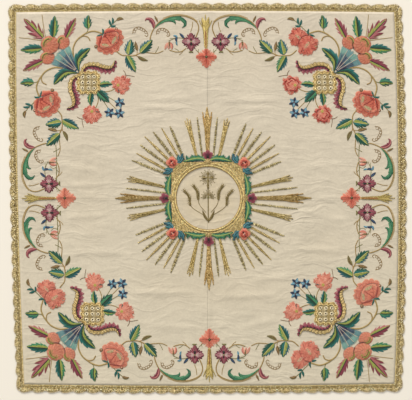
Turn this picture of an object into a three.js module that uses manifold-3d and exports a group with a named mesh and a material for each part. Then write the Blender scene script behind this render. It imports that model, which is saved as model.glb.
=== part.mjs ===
// Chalice veil: a square of cream silk, edged with scalloped gold lace and worked with raised goldwork and
// flowers, lying flat. Millimetres, +Z up, origin at the middle of the underside. The top edge faces +Y.
import * as THREE from "three";
import { mergeVertices } from "three/addons/utils/BufferGeometryUtils.js";
import Module from "manifold-3d";

const wasm = await Module();
wasm.setup();

// Driving dimensions
const HALF_SIDE = 268; // half the side of the silk, as it was cut
const SILK_THICK = 1.2; // the silk with the backs of its stitches
const SEAT_GAP = 0.3; // between a stitched or sewn-on piece and the silk
const LACE_WIDTH = 11.5; // from the silk's edge to the top of a scallop
const SCALLOP_DEPTH = 3; // from the top of a scallop to the notch beside it
const LACE_THICK = 1.1; // the woven ground of the lace
const FLOSS_RISE = 1; // flowers in silk floss stand this far off the silk
const GOLD_RISE = 1.4; // padded gold thread
const FRAME_RISE = 1.9; // the gold frame round the middle

// How far the cloth has pulled away from a true square: at its corners, and bowing out along its sides
const CORNER_SHIFT = {
  topLeft: { x: -4.4, y: -2 },
  topRight: { x: 0.1, y: -2 },
  bottomRight: { x: 0.6, y: 2.7 },
  bottomLeft: { x: 7, y: 1.9 },
};
const EDGE_BOW = { top: 2, right: 6, bottom: 2.3, left: 3.2 };

// Main creases: the middle of each, its length, its half width, its height and the way that it runs
const CREASES = [
  { x: -51, y: 143, length: 84, width: 5, height: 0.8, degrees: 1 },
  { x: -60, y: 130, length: 80, width: 5, height: 0.9, degrees: -1 },
  { x: -80, y: 115, length: 40, width: 5, height: 0.5, degrees: 4 },
  { x: 60, y: 140, length: 104, width: 5, height: 0.9, degrees: 0 },
  { x: 66, y: 128, length: 72, width: 5, height: 0.7, degrees: 2 },
  { x: 172, y: 83, length: 60, width: 6, height: 0.5, degrees: -8 },
  { x: 168, y: 48, length: 56, width: 6, height: 0.5, degrees: 5 },
  { x: -176, y: 42, length: 56, width: 5, height: 0.6, degrees: -6 },
  { x: -174, y: 18, length: 60, width: 4, height: 0.5, degrees: 3 },
  { x: -173, y: -26, length: 66, width: 5, height: 0.8, degrees: 4 },
  { x: -176, y: -52, length: 62, width: 5, height: 0.6, degrees: -3 },
  { x: -156, y: -78, length: 96, width: 6, height: 0.9, degrees: -2 },
  { x: 176, y: -32, length: 58, width: 5, height: 0.6, degrees: 3 },
  { x: 152, y: -73, length: 86, width: 6, height: 0.9, degrees: -3 },
  { x: 92, y: -114, length: 78, width: 6, height: 0.8, degrees: 6 },
  { x: -66, y: -135, length: 108, width: 6, height: 1, degrees: 0 },
  { x: 56, y: -140, length: 96, width: 6, height: 1, degrees: 2 },
  { x: -50, y: -184, length: 84, width: 6, height: 0.7, degrees: -3 },
  { x: 68, y: -180, length: 66, width: 7, height: 0.8, degrees: 14 },
  { x: 0, y: 160, length: 46, width: 3, height: 0.6, degrees: 90 },
  { x: 0, y: -160, length: 46, width: 3, height: 0.6, degrees: 90 },
  { x: -160, y: 0, length: 40, width: 4, height: 0.6, degrees: 0 },
  { x: 168, y: 0, length: 30, width: 4, height: 0.6, degrees: 0 },
];

const COLOURS = {
  silk: { color: 0xd9cbb0, roughness: 0.55, metalness: 0 },
  lace: { color: 0xa38a55, roughness: 0.45, metalness: 0.6 },
  gold: { color: 0xb5934c, roughness: 0.4, metalness: 0.7 },
  coral: { color: 0xd9705c, roughness: 0.5, metalness: 0 },
  fruit: { color: 0xdf8064, roughness: 0.5, metalness: 0 },
  blue: { color: 0x5f8ea3, roughness: 0.5, metalness: 0 },
  purple: { color: 0x8c4450, roughness: 0.5, metalness: 0 },
  pink: { color: 0xe08a7c, roughness: 0.5, metalness: 0 },
};

const veil = new THREE.Group();

function place(name, geometry, colour) {
  geometry.computeVertexNormals();
  const mesh = new THREE.Mesh(geometry, new THREE.MeshStandardMaterial(COLOURS[colour]));
  mesh.name = name;
  veil.add(mesh);
}

// Where a point of the square design lies on the cloth, which has pulled out of square
function lie(x, y) {
  const across = (x / HALF_SIDE + 1) / 2;
  const up = (y / HALF_SIDE + 1) / 2;
  const hump = (t) => 4 * t * (1 - t);
  const { topLeft, topRight, bottomLeft, bottomRight } = CORNER_SHIFT;
  const shift = (axis) => {
    const top = THREE.MathUtils.lerp(topLeft[axis], topRight[axis], across);
    const bottom = THREE.MathUtils.lerp(bottomLeft[axis], bottomRight[axis], across);
    return THREE.MathUtils.lerp(bottom, top, up);
  };
  const sideways = hump(up) * (EDGE_BOW.right * across - EDGE_BOW.left * (1 - across));
  const upwards = hump(across) * (EDGE_BOW.top * up - EDGE_BOW.bottom * (1 - up));
  return new THREE.Vector2(x + shift("x") + sideways, y + shift("y") + upwards);
}

// Height of the creases above the flat silk: each is a soft ridge that dies away at its ends
function creaseHeight(x, y) {
  let height = 0;
  for (const crease of CREASES) {
    const turn = THREE.MathUtils.degToRad(crease.degrees);
    const along = (x - crease.x) * Math.cos(turn) + (y - crease.y) * Math.sin(turn);
    const across = (y - crease.y) * Math.cos(turn) - (x - crease.x) * Math.sin(turn);
    const ends = THREE.MathUtils.smoothstep(crease.length / 2 - Math.abs(along), 0, crease.length / 4);
    height += crease.height * ends * Math.exp(-((across / crease.width) ** 2));
  }
  return height;
}

// A closed slab over a grid of design points: a shaped top, straight sides and a flat underside at z = 0.
// The underside is a large face in the middle and fans out to the rim from its four corners.
function creasedSheet(columns, rows, topAt, faceHalf) {
  const last = { column: columns.length - 1, row: rows.length - 1 };
  const points = [];
  const faces = [];
  const add = (x, y, z) => {
    const flat = lie(x, y);
    return points.push(new THREE.Vector3(flat.x, flat.y, z)) - 1;
  };
  const top = rows.map((y) => columns.map((x) => add(x, y, topAt(x, y))));
  for (let r = 0; r < last.row; r++) {
    for (let c = 0; c < last.column; c++) {
      faces.push([top[r][c], top[r][c + 1], top[r + 1][c + 1]]);
      faces.push([top[r][c], top[r + 1][c + 1], top[r + 1][c]]);
    }
  }
  // The rim goes round from the bottom left corner, one list for each side
  const sides = [
    columns.map((x, c) => top[0][c]),
    rows.map((y, r) => top[r][last.column]),
    columns.map((x, c) => top[last.row][last.column - c]),
    rows.map((y, r) => top[last.row - r][0]),
  ];
  const under = new Map();
  const below = (index) => {
    if (!under.has(index)) {
      const point = points[index];
      under.set(index, points.push(new THREE.Vector3(point.x, point.y, 0)) - 1);
    }
    return under.get(index);
  };
  const signs = [[-1, -1], [1, -1], [1, 1], [-1, 1]];
  const corners = signs.map(([x, y]) => add(x * faceHalf, y * faceHalf, 0));
  faces.push([corners[0], corners[2], corners[1]]);
  faces.push([corners[0], corners[3], corners[2]]);
  sides.forEach((side, s) => {
    const near = corners[s];
    const far = corners[(s + 1) % 4];
    const middle = Math.floor(side.length / 2);
    for (let i = 0; i + 1 < side.length; i++) {
      const [a, b] = [side[i], side[i + 1]];
      faces.push([a, below(a), below(b)]);
      faces.push([a, below(b), b]);
      faces.push([i < middle ? near : far, below(b), below(a)]);
    }
    faces.push([near, far, below(side[middle])]);
  });
  return closedGeometry(points, faces);
}

function closedGeometry(points, faces) {
  return new THREE.BufferGeometry().setFromPoints(points).setIndex(faces.flat());
}

// Evenly spaced numbers from one value to another
function spaced(from, to, steps) {
  return Array.from({ length: steps + 1 }, (_, i) => THREE.MathUtils.lerp(from, to, i / steps));
}

function buildSilk() {
  const COLUMNS = 20;
  const ROWS = 76;
  const FOLD_EDGE = 3; // an extra grid line each side of the upright fold, so that it stays narrow
  const FACE_HALF = 150;
  const columns = [...spaced(-HALF_SIDE, HALF_SIDE, COLUMNS), -FOLD_EDGE, FOLD_EDGE];
  columns.sort((a, b) => a - b);
  const rows = spaced(-HALF_SIDE, HALF_SIDE, ROWS);
  const geometry = creasedSheet(columns, rows, (x, y) => SILK_THICK + creaseHeight(x, y), FACE_HALF);
  place("silk_ground", geometry, "silk");
}

// One length of lace, mitred at both ends. Its section runs out from the silk, and the fan in each scallop
// stands up a little. A side is drawn as the top one and turned to its place.
const LACE_SIDES = [
  { name: "top", quarterTurns: 0, scallops: 27 },
  { name: "left", quarterTurns: 1, scallops: 28 },
  { name: "bottom", quarterTurns: 2, scallops: 28 },
  { name: "right", quarterTurns: 3, scallops: 28 },
];
const LACE_SECTION = [
  { share: 0, top: 0.5, fan: 0 },
  { share: 0.6, top: 0.1, fan: 0.7 },
  { share: 1, top: -0.3, fan: 0.1 },
];
const STEPS_PER_SCALLOP = 4;

function turned(x, y, quarterTurns) {
  const point = new THREE.Vector2(x, y).rotateAround(new THREE.Vector2(), (quarterTurns * Math.PI) / 2);
  return lie(point.x, point.y);
}

function buildLace({ name, quarterTurns, scallops }) {
  const steps = scallops * STEPS_PER_SCALLOP;
  const points = [];
  const faces = [];
  const sections = spaced(-1, 1, steps).map((along, i) => {
    const swell = Math.abs(Math.sin((Math.PI * i) / STEPS_PER_SCALLOP));
    const width = LACE_WIDTH - SCALLOP_DEPTH * (1 - swell);
    // Upper points from the silk outwards, then the two lower ones back again
    const upper = LACE_SECTION.map(({ share, top, fan }) => ({
      out: SEAT_GAP + share * width,
      height: LACE_THICK + top + fan * swell,
    }));
    const lower = [{ ...upper.at(-1), height: 0 }, { ...upper[0], height: 0 }];
    return [...upper, ...lower].map(({ out, height }) => {
      // The mitre gap is kept by ending each length a little short of the diagonal
      const reach = HALF_SIDE + out - SEAT_GAP;
      const flat = turned(along * reach, HALF_SIDE + out, quarterTurns);
      return points.push(new THREE.Vector3(flat.x, flat.y, height)) - 1;
    });
  });
  const count = sections[0].length;
  for (let s = 0; s < steps; s++) {
    for (let k = 0; k < count; k++) {
      const [a, b] = [sections[s][k], sections[s][(k + 1) % count]];
      const [c, d] = [sections[s + 1][k], sections[s + 1][(k + 1) % count]];
      faces.push([a, c, b], [b, c, d]);
    }
  }
  const [start, end] = [sections[0], sections.at(-1)];
  for (let k = 1; k + 1 < count; k++) {
    faces.push([start[0], start[k], start[k + 1]]);
    faces.push([end[0], end[k + 1], end[k]]);
  }
  place(`lace_${name}`, closedGeometry(points, faces), "lace");
}

// A flat pad of stitching with the outline of these design points, seated on the silk
function pad(outline, rise, hole) {
  const shape = new THREE.Shape(outline.map(({ x, y }) => lie(x, y)));
  if (hole) shape.holes.push(new THREE.Path(hole.map(({ x, y }) => lie(x, y))));
  const geometry = new THREE.ExtrudeGeometry(shape, { depth: rise, bevelEnabled: false });
  return geometry.translate(0, 0, SILK_THICK + SEAT_GAP);
}

// Several pads joined into one closed piece
function joined(geometries) {
  const solids = geometries.map((geometry) => {
    geometry.deleteAttribute("normal");
    geometry.deleteAttribute("uv");
    const merged = mergeVertices(geometry);
    const vertProperties = merged.attributes.position.array;
    const triVerts = new Uint32Array(merged.index.array);
    return new wasm.Manifold(new wasm.Mesh({ numProp: 3, vertProperties, triVerts }));
  });
  const mesh = solids.reduce((whole, solid) => whole.add(solid)).getMesh();
  return new THREE.BufferGeometry()
    .setAttribute("position", new THREE.BufferAttribute(mesh.vertProperties, 3))
    .setIndex(new THREE.BufferAttribute(mesh.triVerts, 1));
}

// A closed outline round a centre, from its radius at each angle
function roundOutline(centre, steps, radiusAt) {
  return spaced(0, 2 * Math.PI, steps)
    .slice(0, steps)
    .map((angle) => {
      const radius = radiusAt(angle);
      return { x: centre.x + radius * Math.cos(angle), y: centre.y + radius * Math.sin(angle) };
    });
}

// The outline of a band that follows a line of points, each with its half width
function bandOutline(rows, steps) {
  const line = new THREE.SplineCurve(rows.map(({ x, y }) => new THREE.Vector2(x, y)));
  const halves = new THREE.SplineCurve(rows.map(({ half }, i) => new THREE.Vector2(i, half)));
  const [left, right] = [-1, 1].map((side) =>
    spaced(0, 1, steps).map((t) => {
      const point = line.getPoint(t);
      const tangent = line.getTangent(t);
      const half = halves.getPoint(t).y;
      return { x: point.x - side * tangent.y * half, y: point.y + side * tangent.x * half };
    }),
  );
  return [...left, ...right.reverse()];
}

// The design repeats in eight: a point in one half of one corner, mirrored over the upright, the level and
// the sloping middle lines. A point on one of those lines gives four places.
function repeats(x, y) {
  const found = new Map();
  for (const [a, b] of [[x, y], [y, x]]) {
    for (const [signA, signB] of [[1, 1], [-1, 1], [-1, -1], [1, -1]]) {
      const point = { x: a * signA || 0, y: b * signB || 0, swapped: a !== x };
      found.set(`${point.x} ${point.y}`, point);
    }
  }
  return [...found.values()];
}

// Outlines made for the top right corner, moved into another corner
const CORNER_SIGNS = [
  { x: 1, y: 1 },
  { x: -1, y: 1 },
  { x: -1, y: -1 },
  { x: 1, y: -1 },
];
const inCorner = (outline, sign) => outline.map(({ x, y }) => ({ x: x * sign.x, y: y * sign.y }));
const overDiagonal = (outline) => outline.map(({ x, y }) => ({ x: y, y: x }));

// The gold frame round the middle and the rays that leave it
const FRAME_HALF = 52;
const FRAME_CORNER = 14;
const MEDALLION_RADIUS = 45;
const SPEAR_LENGTHS = [145, 130, 131, 131]; // right, top, left, bottom
const SIDE_RAYS = [
  { degrees: 7, length: 115, foot: 1.3, wide: 1.5, notched: false },
  { degrees: 13.7, length: 116, foot: 1.8, wide: 4, notched: true },
];
const CORNER_RAYS = [
  { footDegrees: 32, tipDegrees: 27, length: 118 },
  { footDegrees: 36.3, tipDegrees: 32.7, length: 119 },
  { footDegrees: 40.7, tipDegrees: 38.8, length: 122 },
  { footDegrees: 45, tipDegrees: 45, length: 124 },
  { footDegrees: 49.3, tipDegrees: 51.2, length: 122 },
  { footDegrees: 53.7, tipDegrees: 57.3, length: 119 },
  { footDegrees: 58, tipDegrees: 63, length: 118 },
];
const THIN_RAY = { foot: 1.8, wide: 1.3 };
const RAY_FOOT = 49; // every ray starts this far from the middle, inside the frame

// A ray runs out from its foot. Its head is a list of points: how far along, and how far to the side.
function rayOutline({ footDegrees, tipDegrees, length, head }) {
  const radians = THREE.MathUtils.degToRad;
  const foot = new THREE.Vector2(RAY_FOOT, 0).rotateAround(new THREE.Vector2(), radians(footDegrees));
  const tip = new THREE.Vector2(length, 0).rotateAround(new THREE.Vector2(), radians(tipDegrees));
  const along = tip.clone().sub(foot);
  const aside = new THREE.Vector2(-along.y, along.x).normalize();
  return head.map(({ share, side }) =>
    foot.clone().addScaledVector(along, share).addScaledVector(aside, side),
  );
}

const thinHead = ({ foot, wide }) => [
  { share: 0, side: foot },
  { share: 0, side: -foot },
  { share: 0.85, side: -wide },
  { share: 1, side: 0 },
  { share: 0.85, side: wide },
];
const notchedHead = ({ foot, wide }) => [
  { share: 0, side: foot },
  { share: 0, side: -foot },
  { share: 0.94, side: -wide },
  { share: 0.9, side: -wide / 3 },
  { share: 1, side: 0 },
  { share: 0.9, side: wide / 3 },
  { share: 0.97, side: wide },
];
const SPEAR_HEAD = [
  { share: 0, side: 2 },
  { share: 0, side: -2 },
  { share: 0.55, side: -2.6 },
  { share: 0.82, side: -6 },
  { share: 0.8, side: -3.6 },
  { share: 0.9, side: -3.8 },
  { share: 1, side: 0 },
  { share: 0.9, side: 3.8 },
  { share: 0.8, side: 3.6 },
  { share: 0.82, side: 6 },
  { share: 0.55, side: 2.6 },
];

function frameOutline() {
  const straight = FRAME_HALF - FRAME_CORNER;
  const ARC_STEPS = 5;
  return CORNER_SIGNS.flatMap((sign, quarter) =>
    spaced(quarter, quarter + 1, ARC_STEPS).map((turns) => ({
      x: sign.x * straight + FRAME_CORNER * Math.cos((turns * Math.PI) / 2),
      y: sign.y * straight + FRAME_CORNER * Math.sin((turns * Math.PI) / 2),
    })),
  );
}

function buildSunburst() {
  const outlines = [];
  for (let quarter = 0; quarter < 4; quarter++) {
    const level = quarter * 90;
    const straightOut = { footDegrees: level, tipDegrees: level, length: SPEAR_LENGTHS[quarter] };
    outlines.push(rayOutline({ ...straightOut, head: SPEAR_HEAD }));
    for (const ray of SIDE_RAYS) {
      const head = ray.notched ? notchedHead(ray) : thinHead(ray);
      for (const side of [-1, 1]) {
        const degrees = level + side * ray.degrees;
        const { length } = ray;
        outlines.push(rayOutline({ footDegrees: degrees, tipDegrees: degrees, length, head }));
      }
    }
    for (const { footDegrees, tipDegrees, length } of CORNER_RAYS) {
      const turnedRay = { footDegrees: level + footDegrees, tipDegrees: level + tipDegrees, length };
      outlines.push(rayOutline({ ...turnedRay, head: thinHead(THIN_RAY) }));
    }
  }
  const opening = roundOutline({ x: 0, y: 0 }, 40, () => MEDALLION_RADIUS);
  const frame = pad(frameOutline(), FRAME_RISE, opening);
  const rays = outlines.map((outline) => pad(outline, GOLD_RISE));
  place("sunburst_goldwork", joined([frame, ...rays]), "gold");
}

// In each corner, a gold basket with a wing curling out of each side of its neck
const BASKET = { x: 167, y: 167 };
const BASKET_HALF = 14;
const WING = [
  { x: 179, y: 177, half: 2.5 },
  { x: 174, y: 187, half: 3.5 },
  { x: 164, y: 191.5, half: 5 },
  { x: 152, y: 190, half: 5.5 },
  { x: 142, y: 186.5, half: 5 },
  { x: 135, y: 188, half: 3.5 },
  { x: 132, y: 197, half: 1 },
];

function buildCornerGoldwork(sign, index) {
  const WAVES = 8; // the basket's rim is lobed
  const basket = roundOutline(BASKET, 32, (angle) => {
    const square = BASKET_HALF / Math.max(Math.abs(Math.cos(angle)), Math.abs(Math.sin(angle)));
    return Math.min(square, BASKET_HALF * 1.22) + 0.8 * Math.cos(WAVES * angle);
  });
  const wing = bandOutline(WING, 14);
  const outlines = [basket, wing, overDiagonal(wing)];
  const pieces = outlines.map((outline) => pad(inCorner(outline, sign), GOLD_RISE));
  place(`corner_goldwork_${index + 1}`, joined(pieces), "gold");
}

// The fruit and the blue fan above each basket
const FRUITS = [
  { x: 221, y: 221, radius: 12.5 },
  { x: 203.5, y: 225, radius: 9.5 },
  { x: 225, y: 203.5, radius: 9.5 },
];
const FAN = { x: 184, y: 184, inner: 8, outer: 33, halfDegrees: 27 };

function buildFruit(sign, index) {
  const outlines = FRUITS.map((fruit) => roundOutline(fruit, 14, () => fruit.radius));
  const pieces = outlines.map((outline) => pad(inCorner(outline, sign), FLOSS_RISE));
  place(`fruit_${index + 1}`, joined(pieces), "fruit");
}

function buildFan(sign, index) {
  const ARC_STEPS = 6;
  const half = THREE.MathUtils.degToRad(FAN.halfDegrees);
  const outline = [
    ...spaced(-half, half, ARC_STEPS).map((angle) => ({ angle, radius: FAN.outer })),
    ...spaced(half, -half, 2).map((angle) => ({ angle, radius: FAN.inner })),
  ].map(({ angle, radius }) => ({
    x: FAN.x + radius * Math.cos(Math.PI / 4 + angle),
    y: FAN.y + radius * Math.sin(Math.PI / 4 + angle),
  }));
  place(`blue_fan_${index + 1}`, pad(inCorner(outline, sign), FLOSS_RISE), "blue");
}

// Flowers that repeat round the veil: radius, number of petals and how deeply they are parted
const FLOWERS = [
  { name: "rose", x: 139, y: 226, radius: 18, petals: 9, parting: 0.14, colour: "coral" },
  { name: "carnation", x: 121, y: 163, radius: 11, petals: 6, parting: 0.2, colour: "pink" },
  { name: "pansy", x: 23, y: 222, radius: 12.5, petals: 4, parting: 0.3, colour: "purple" },
  { name: "side_flower", x: 0, y: 202, radius: 14.5, petals: 4, parting: 0.34, colour: "coral" },
];
const STEPS_PER_PETAL = 4;

function buildFlowers({ name, x, y, radius, petals, parting, colour }) {
  repeats(x, y).forEach((centre, index) => {
    const outline = roundOutline(centre, petals * STEPS_PER_PETAL, (angle) => {
      const fullness = Math.abs(Math.cos((petals * angle) / 2));
      return radius * (1 - parting * (1 - fullness));
    });
    place(`${name}_${index + 1}`, pad(outline, FLOSS_RISE), colour);
  });
}

// The gold spike that stands on each side flower and points to the lace
const SPIKE = [
  { out: 219, side: 2 },
  { out: 240, side: 3 },
  { out: 252, side: 6 },
  { out: 249, side: 2.6 },
  { out: 259, side: 0 },
];

function buildSpikes() {
  const half = SPIKE.map(({ out, side }) => ({ x: side, y: out }));
  const mirrored = half.slice(0, -1).map(({ x, y }) => ({ x: -x, y }));
  const outline = [...half, ...mirrored.reverse()];
  const turns = [
    (point) => point,
    ({ x, y }) => ({ x: -y, y: x }),
    ({ x, y }) => ({ x: -x, y: -y }),
    ({ x, y }) => ({ x: y, y: -x }),
  ];
  turns.forEach((turn, index) => {
    place(`gold_spike_${index + 1}`, pad(outline.map(turn), GOLD_RISE), "gold");
  });
}

buildSilk();
LACE_SIDES.forEach(buildLace);
buildSunburst();
CORNER_SIGNS.forEach(buildCornerGoldwork);
CORNER_SIGNS.forEach(buildFruit);
CORNER_SIGNS.forEach(buildFan);
FLOWERS.forEach(buildFlowers);
buildSpikes();

// The origin is the middle of the underside of everything
const middle = new THREE.Box3().setFromObject(veil).getCenter(new THREE.Vector3());
veil.position.set(-middle.x, -middle.y, 0);

export default veil;
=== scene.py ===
# %% [markdown]
# # A chalice veil in silk and gold
#
# A chalice veil is a square of silk that hangs over the chalice. This one lies flat: a cream silk ground, a
# scalloped edging of gold lace, a gold sunburst in the middle, and baskets, fruit and flowers worked in
# coloured silk floss. The solid pieces come from CAD and only say where things are. What is seen here is
# needlework, so nearly everything in this lesson is made of single stitches.

import math

import bpy
import numpy as np
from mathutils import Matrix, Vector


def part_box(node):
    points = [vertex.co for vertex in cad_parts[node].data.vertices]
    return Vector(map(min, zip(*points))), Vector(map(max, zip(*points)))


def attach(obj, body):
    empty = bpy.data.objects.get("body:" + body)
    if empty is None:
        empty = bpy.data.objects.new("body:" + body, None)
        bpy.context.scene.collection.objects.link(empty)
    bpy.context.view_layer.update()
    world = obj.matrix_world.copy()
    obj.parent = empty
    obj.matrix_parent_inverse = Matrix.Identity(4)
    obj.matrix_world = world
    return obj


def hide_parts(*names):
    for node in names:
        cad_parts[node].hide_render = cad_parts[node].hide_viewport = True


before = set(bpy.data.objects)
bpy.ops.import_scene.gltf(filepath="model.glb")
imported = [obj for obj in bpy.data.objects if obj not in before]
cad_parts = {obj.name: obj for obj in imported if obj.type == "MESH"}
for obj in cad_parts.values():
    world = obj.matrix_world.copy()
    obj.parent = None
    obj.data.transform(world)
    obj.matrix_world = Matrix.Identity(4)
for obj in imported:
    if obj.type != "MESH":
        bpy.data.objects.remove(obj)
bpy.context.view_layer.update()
bpy.ops.object.select_all(action="DESELECT")
print("solid pieces:", len(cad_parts))

# %% [markdown]
# ## How the cloth lies
#
# The embroiderer drew the design on a true square. The cloth has since pulled a little out of shape, so each
# point of the design is moved to where it lies now: the four corners shift, and each side bows out. Working
# in the square and moving the stitches last keeps the design simple, because it repeats in every corner.

# %% From the square design to the cloth
MM = 0.001
HALF_SIDE = 268.0
SILK_TOP = 1.2
CORNER_SHIFT = {"top": ((-4.4, -2.0), (0.1, -2.0)), "bottom": ((7.0, 1.9), (0.6, 2.7))}
BOW = {"top": 2.0, "right": 6.0, "bottom": 2.3, "left": 3.2}


def lie(x, y):
    """Where design points lie on the cloth, in mm from the middle of the square."""
    across = (x / HALF_SIDE + 1) / 2
    up = (y / HALF_SIDE + 1) / 2
    moved = []
    for axis in (0, 1):
        rows = [left[axis] + (right[axis] - left[axis]) * across for left, right in CORNER_SHIFT.values()]
        moved.append(rows[1] + (rows[0] - rows[1]) * up)
    x_bow = 4 * up * (1 - up) * (BOW["right"] * across - BOW["left"] * (1 - across))
    y_bow = 4 * across * (1 - across) * (BOW["top"] * up - BOW["bottom"] * (1 - up))
    return x + moved[0] + x_bow, y + moved[1] + y_bow


rim = np.linspace(-HALF_SIDE, HALF_SIDE, 201)
left_edge = lie(np.full_like(rim, -HALF_SIDE), rim)[0].min()
bottom_edge = lie(rim, np.full_like(rim, -HALF_SIDE))[1].min()
silk_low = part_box("silk_ground")[0]
SHIFT = (silk_low.x / MM - left_edge, silk_low.y / MM - bottom_edge)
print("the square's middle is at", [round(v, 2) for v in SHIFT], "mm")

# %% [markdown]
# ## Creases
#
# The veil was kept folded in four, so a thin fold runs up the middle and another runs across. Heavy stitching
# shortens the silk around it, and the silk between puckers into soft level ridges. Each ridge is a low bump
# that fades at its ends. The large ones are those of the solid piece, and small ones are added between them.

# %% Height of the silk
# Each crease: its middle, length, half width and height in mm, and the way it runs in degrees
CREASES = [
    (-51, 143, 84, 5, 0.8, 1), (-60, 130, 80, 5, 0.9, -1), (-80, 115, 40, 5, 0.5, 4), (60, 140, 104, 5, 0.9, 0),
    (66, 128, 72, 5, 0.7, 2), (172, 83, 60, 6, 0.5, -8), (168, 48, 56, 6, 0.5, 5), (-176, 42, 56, 5, 0.6, -6),
    (-174, 18, 60, 4, 0.5, 3), (-173, -26, 66, 5, 0.8, 4), (-176, -52, 62, 5, 0.6, -3), (-156, -78, 96, 6, 0.9, -2),
    (176, -32, 58, 5, 0.6, 3), (152, -73, 86, 6, 0.9, -3), (92, -114, 78, 6, 0.8, 6), (-66, -135, 108, 6, 1, 0),
    (56, -140, 96, 6, 1, 2), (-50, -184, 84, 6, 0.7, -3), (68, -180, 66, 7, 0.8, 14), (0, 160, 46, 3, 0.6, 90),
    (0, -160, 46, 3, 0.6, 90), (-160, 0, 40, 4, 0.6, 0), (168, 0, 30, 4, 0.6, 0),
]
chance = np.random.default_rng(7)
# Each field of puckers: its middle, half its width and height in mm, and how many it has
FIELDS = [(-172, 40, 44, 46, 26), (0, 190, 120, 40, 20), (0, -200, 120, 44, 20), (172, -10, 44, 90, 22),
          (-172, -60, 44, 60, 18), (0, 0, 240, 240, 120)]


def small_puckers():
    """Small level ridges, most of them in the open silk between the flowers and the sunburst."""
    made = []
    for x, y, wide, high, count in FIELDS:
        for _ in range(count):
            place = (x + chance.uniform(-wide, wide), y + chance.uniform(-high, high))
            made.append((*place, chance.uniform(14, 56), chance.uniform(2.2, 3.6), chance.uniform(0.08, 0.36),
                         chance.normal(0, 9)))
    return made


def ridges(x, y, table):
    """Height of all these creases together. Each is a smooth bump across, and fades towards its ends."""
    height = np.zeros_like(x)
    for middle_x, middle_y, length, width, rise, degrees in table:
        turn = math.radians(degrees)
        along = (x - middle_x) * math.cos(turn) + (y - middle_y) * math.sin(turn)
        across = (y - middle_y) * math.cos(turn) - (x - middle_x) * math.sin(turn)
        fade = np.clip((length / 2 - np.abs(along)) / (length / 4), 0, 1)
        height += rise * fade * fade * (3 - 2 * fade) * np.exp(-((across / width) ** 2))
    return height


CREASE_SHARPNESS = 0.62  # the silk's own creases are narrower than those of the solid piece
FOLD_RISE = 0.28
FOLD_SHADE_HALF_WIDTH = 0.0009  # half the width of the painted shade along a fold line, in metres
FOLD_END = 205  # mm from the middle, where the heavy stitching of the side flowers holds the silk flat
PUCKERS = small_puckers()


def fold_ridge(across, along, width):
    """The thin ridge of one fold line, which ends at the side flowers."""
    return FOLD_RISE * np.exp(-((across / width) ** 2)) * (np.abs(along) < FOLD_END)


def silk_height(x, y):
    """Top of the silk above the table, in mm."""
    sharp = [(*crease[:3], crease[3] * CREASE_SHARPNESS, *crease[4:]) for crease in CREASES]
    folds = fold_ridge(x, y, 1.5) + fold_ridge(y, x, 1.6)
    return SILK_TOP + ridges(x, y, sharp) + ridges(x, y, PUCKERS) + folds


# The stitches ask for this height very often, so it is kept on a grid and read between its points
STEP, GRID_MARGIN = 1.0, 14
GRID = np.arange(-HALF_SIDE - GRID_MARGIN, HALF_SIDE + GRID_MARGIN + STEP, STEP)
HEIGHTS = silk_height(*np.meshgrid(GRID, GRID))


def height_at(x, y):
    """Height of the silk between four points of the grid."""
    column = np.clip((x - GRID[0]) / STEP, 0, len(GRID) - 1.001)
    row = np.clip((y - GRID[0]) / STEP, 0, len(GRID) - 1.001)
    c, r = column.astype(int), row.astype(int)
    a, b = column - c, row - r
    lower = HEIGHTS[r, c] * (1 - a) + HEIGHTS[r, c + 1] * a
    upper = HEIGHTS[r + 1, c] * (1 - a) + HEIGHTS[r + 1, c + 1] * a
    return lower * (1 - b) + upper * b


print("highest crease:", round(float(HEIGHTS.max() - SILK_TOP), 2), "mm")

# %% [markdown]
# ## Colours and materials
#
# A material is a small network of nodes. Writing it as sums is easier to read than joining sockets one by one,
# so a wire stands for a node's output and ordinary arithmetic makes the nodes. The floss, gold and silk all
# take their base colour from the piece: each stitch carries the colour of its own thread.

# %% A wire that can be calculated with
def plug(tree, socket, value):
    """Joins a wire to a socket, or sets the socket to a plain number."""
    if isinstance(value, Wire):
        tree.links.new(value.socket, socket)
    else:
        socket.default_value = value


class Wire:
    """One output of a node in a material."""

    def __init__(self, tree, socket):
        self.tree = tree
        self.socket = socket

    def node(self, kind, inputs=None, output=0, **settings):
        made = self.tree.nodes.new(kind)
        for name, value in settings.items():
            setattr(made, name, value)
        for name, value in (inputs or {}).items():
            plug(self.tree, made.inputs[name], value)
        return Wire(self.tree, made.outputs[output])

    def math(self, operation, first, second=0.0):
        return self.node("ShaderNodeMath", {0: first, 1: second}, operation=operation)

    def scaled(self, x, y, z):
        """A vector with each part multiplied."""
        return self.node("ShaderNodeVectorMath", {0: self, 1: (x, y, z)}, operation="MULTIPLY")

    def dimmed(self, amount):
        """A colour multiplied by a number."""
        grey = self.node("ShaderNodeCombineColor", {0: amount, 1: amount, 2: amount})
        return self.node("ShaderNodeMix", {0: 1.0, 6: self, 7: grey}, output=2, data_type="RGBA", blend_type="MULTIPLY")

    def __add__(self, other):
        return self.math("ADD", self, other)

    def __radd__(self, other):
        return self.math("ADD", other, self)

    def __sub__(self, other):
        return self.math("SUBTRACT", self, other)

    def __rsub__(self, other):
        return self.math("SUBTRACT", other, self)

    def __mul__(self, other):
        return self.math("MULTIPLY", self, other)

    def __rmul__(self, other):
        return self.math("MULTIPLY", other, self)

    def sine(self):
        return self.math("SINE", self)

    def crest(self, sharpness):
        """1 where this is a half, falling off on both sides, so that it draws a thin line."""
        off = self - 0.5
        return off.math("MAXIMUM", 1.0 - off.math("ABSOLUTE", off) * sharpness, 0.0)

    def noise(self, scale, detail=2.0, rough=0.5):
        found = {"Vector": self, "Scale": scale, "Detail": detail, "Roughness": rough}
        return self.node("ShaderNodeTexNoise", found)

    def bump(self, distance, strength=1.0):
        """A normal from this height."""
        return self.node("ShaderNodeBump", {"Height": self, "Distance": distance, "Strength": strength})


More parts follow.
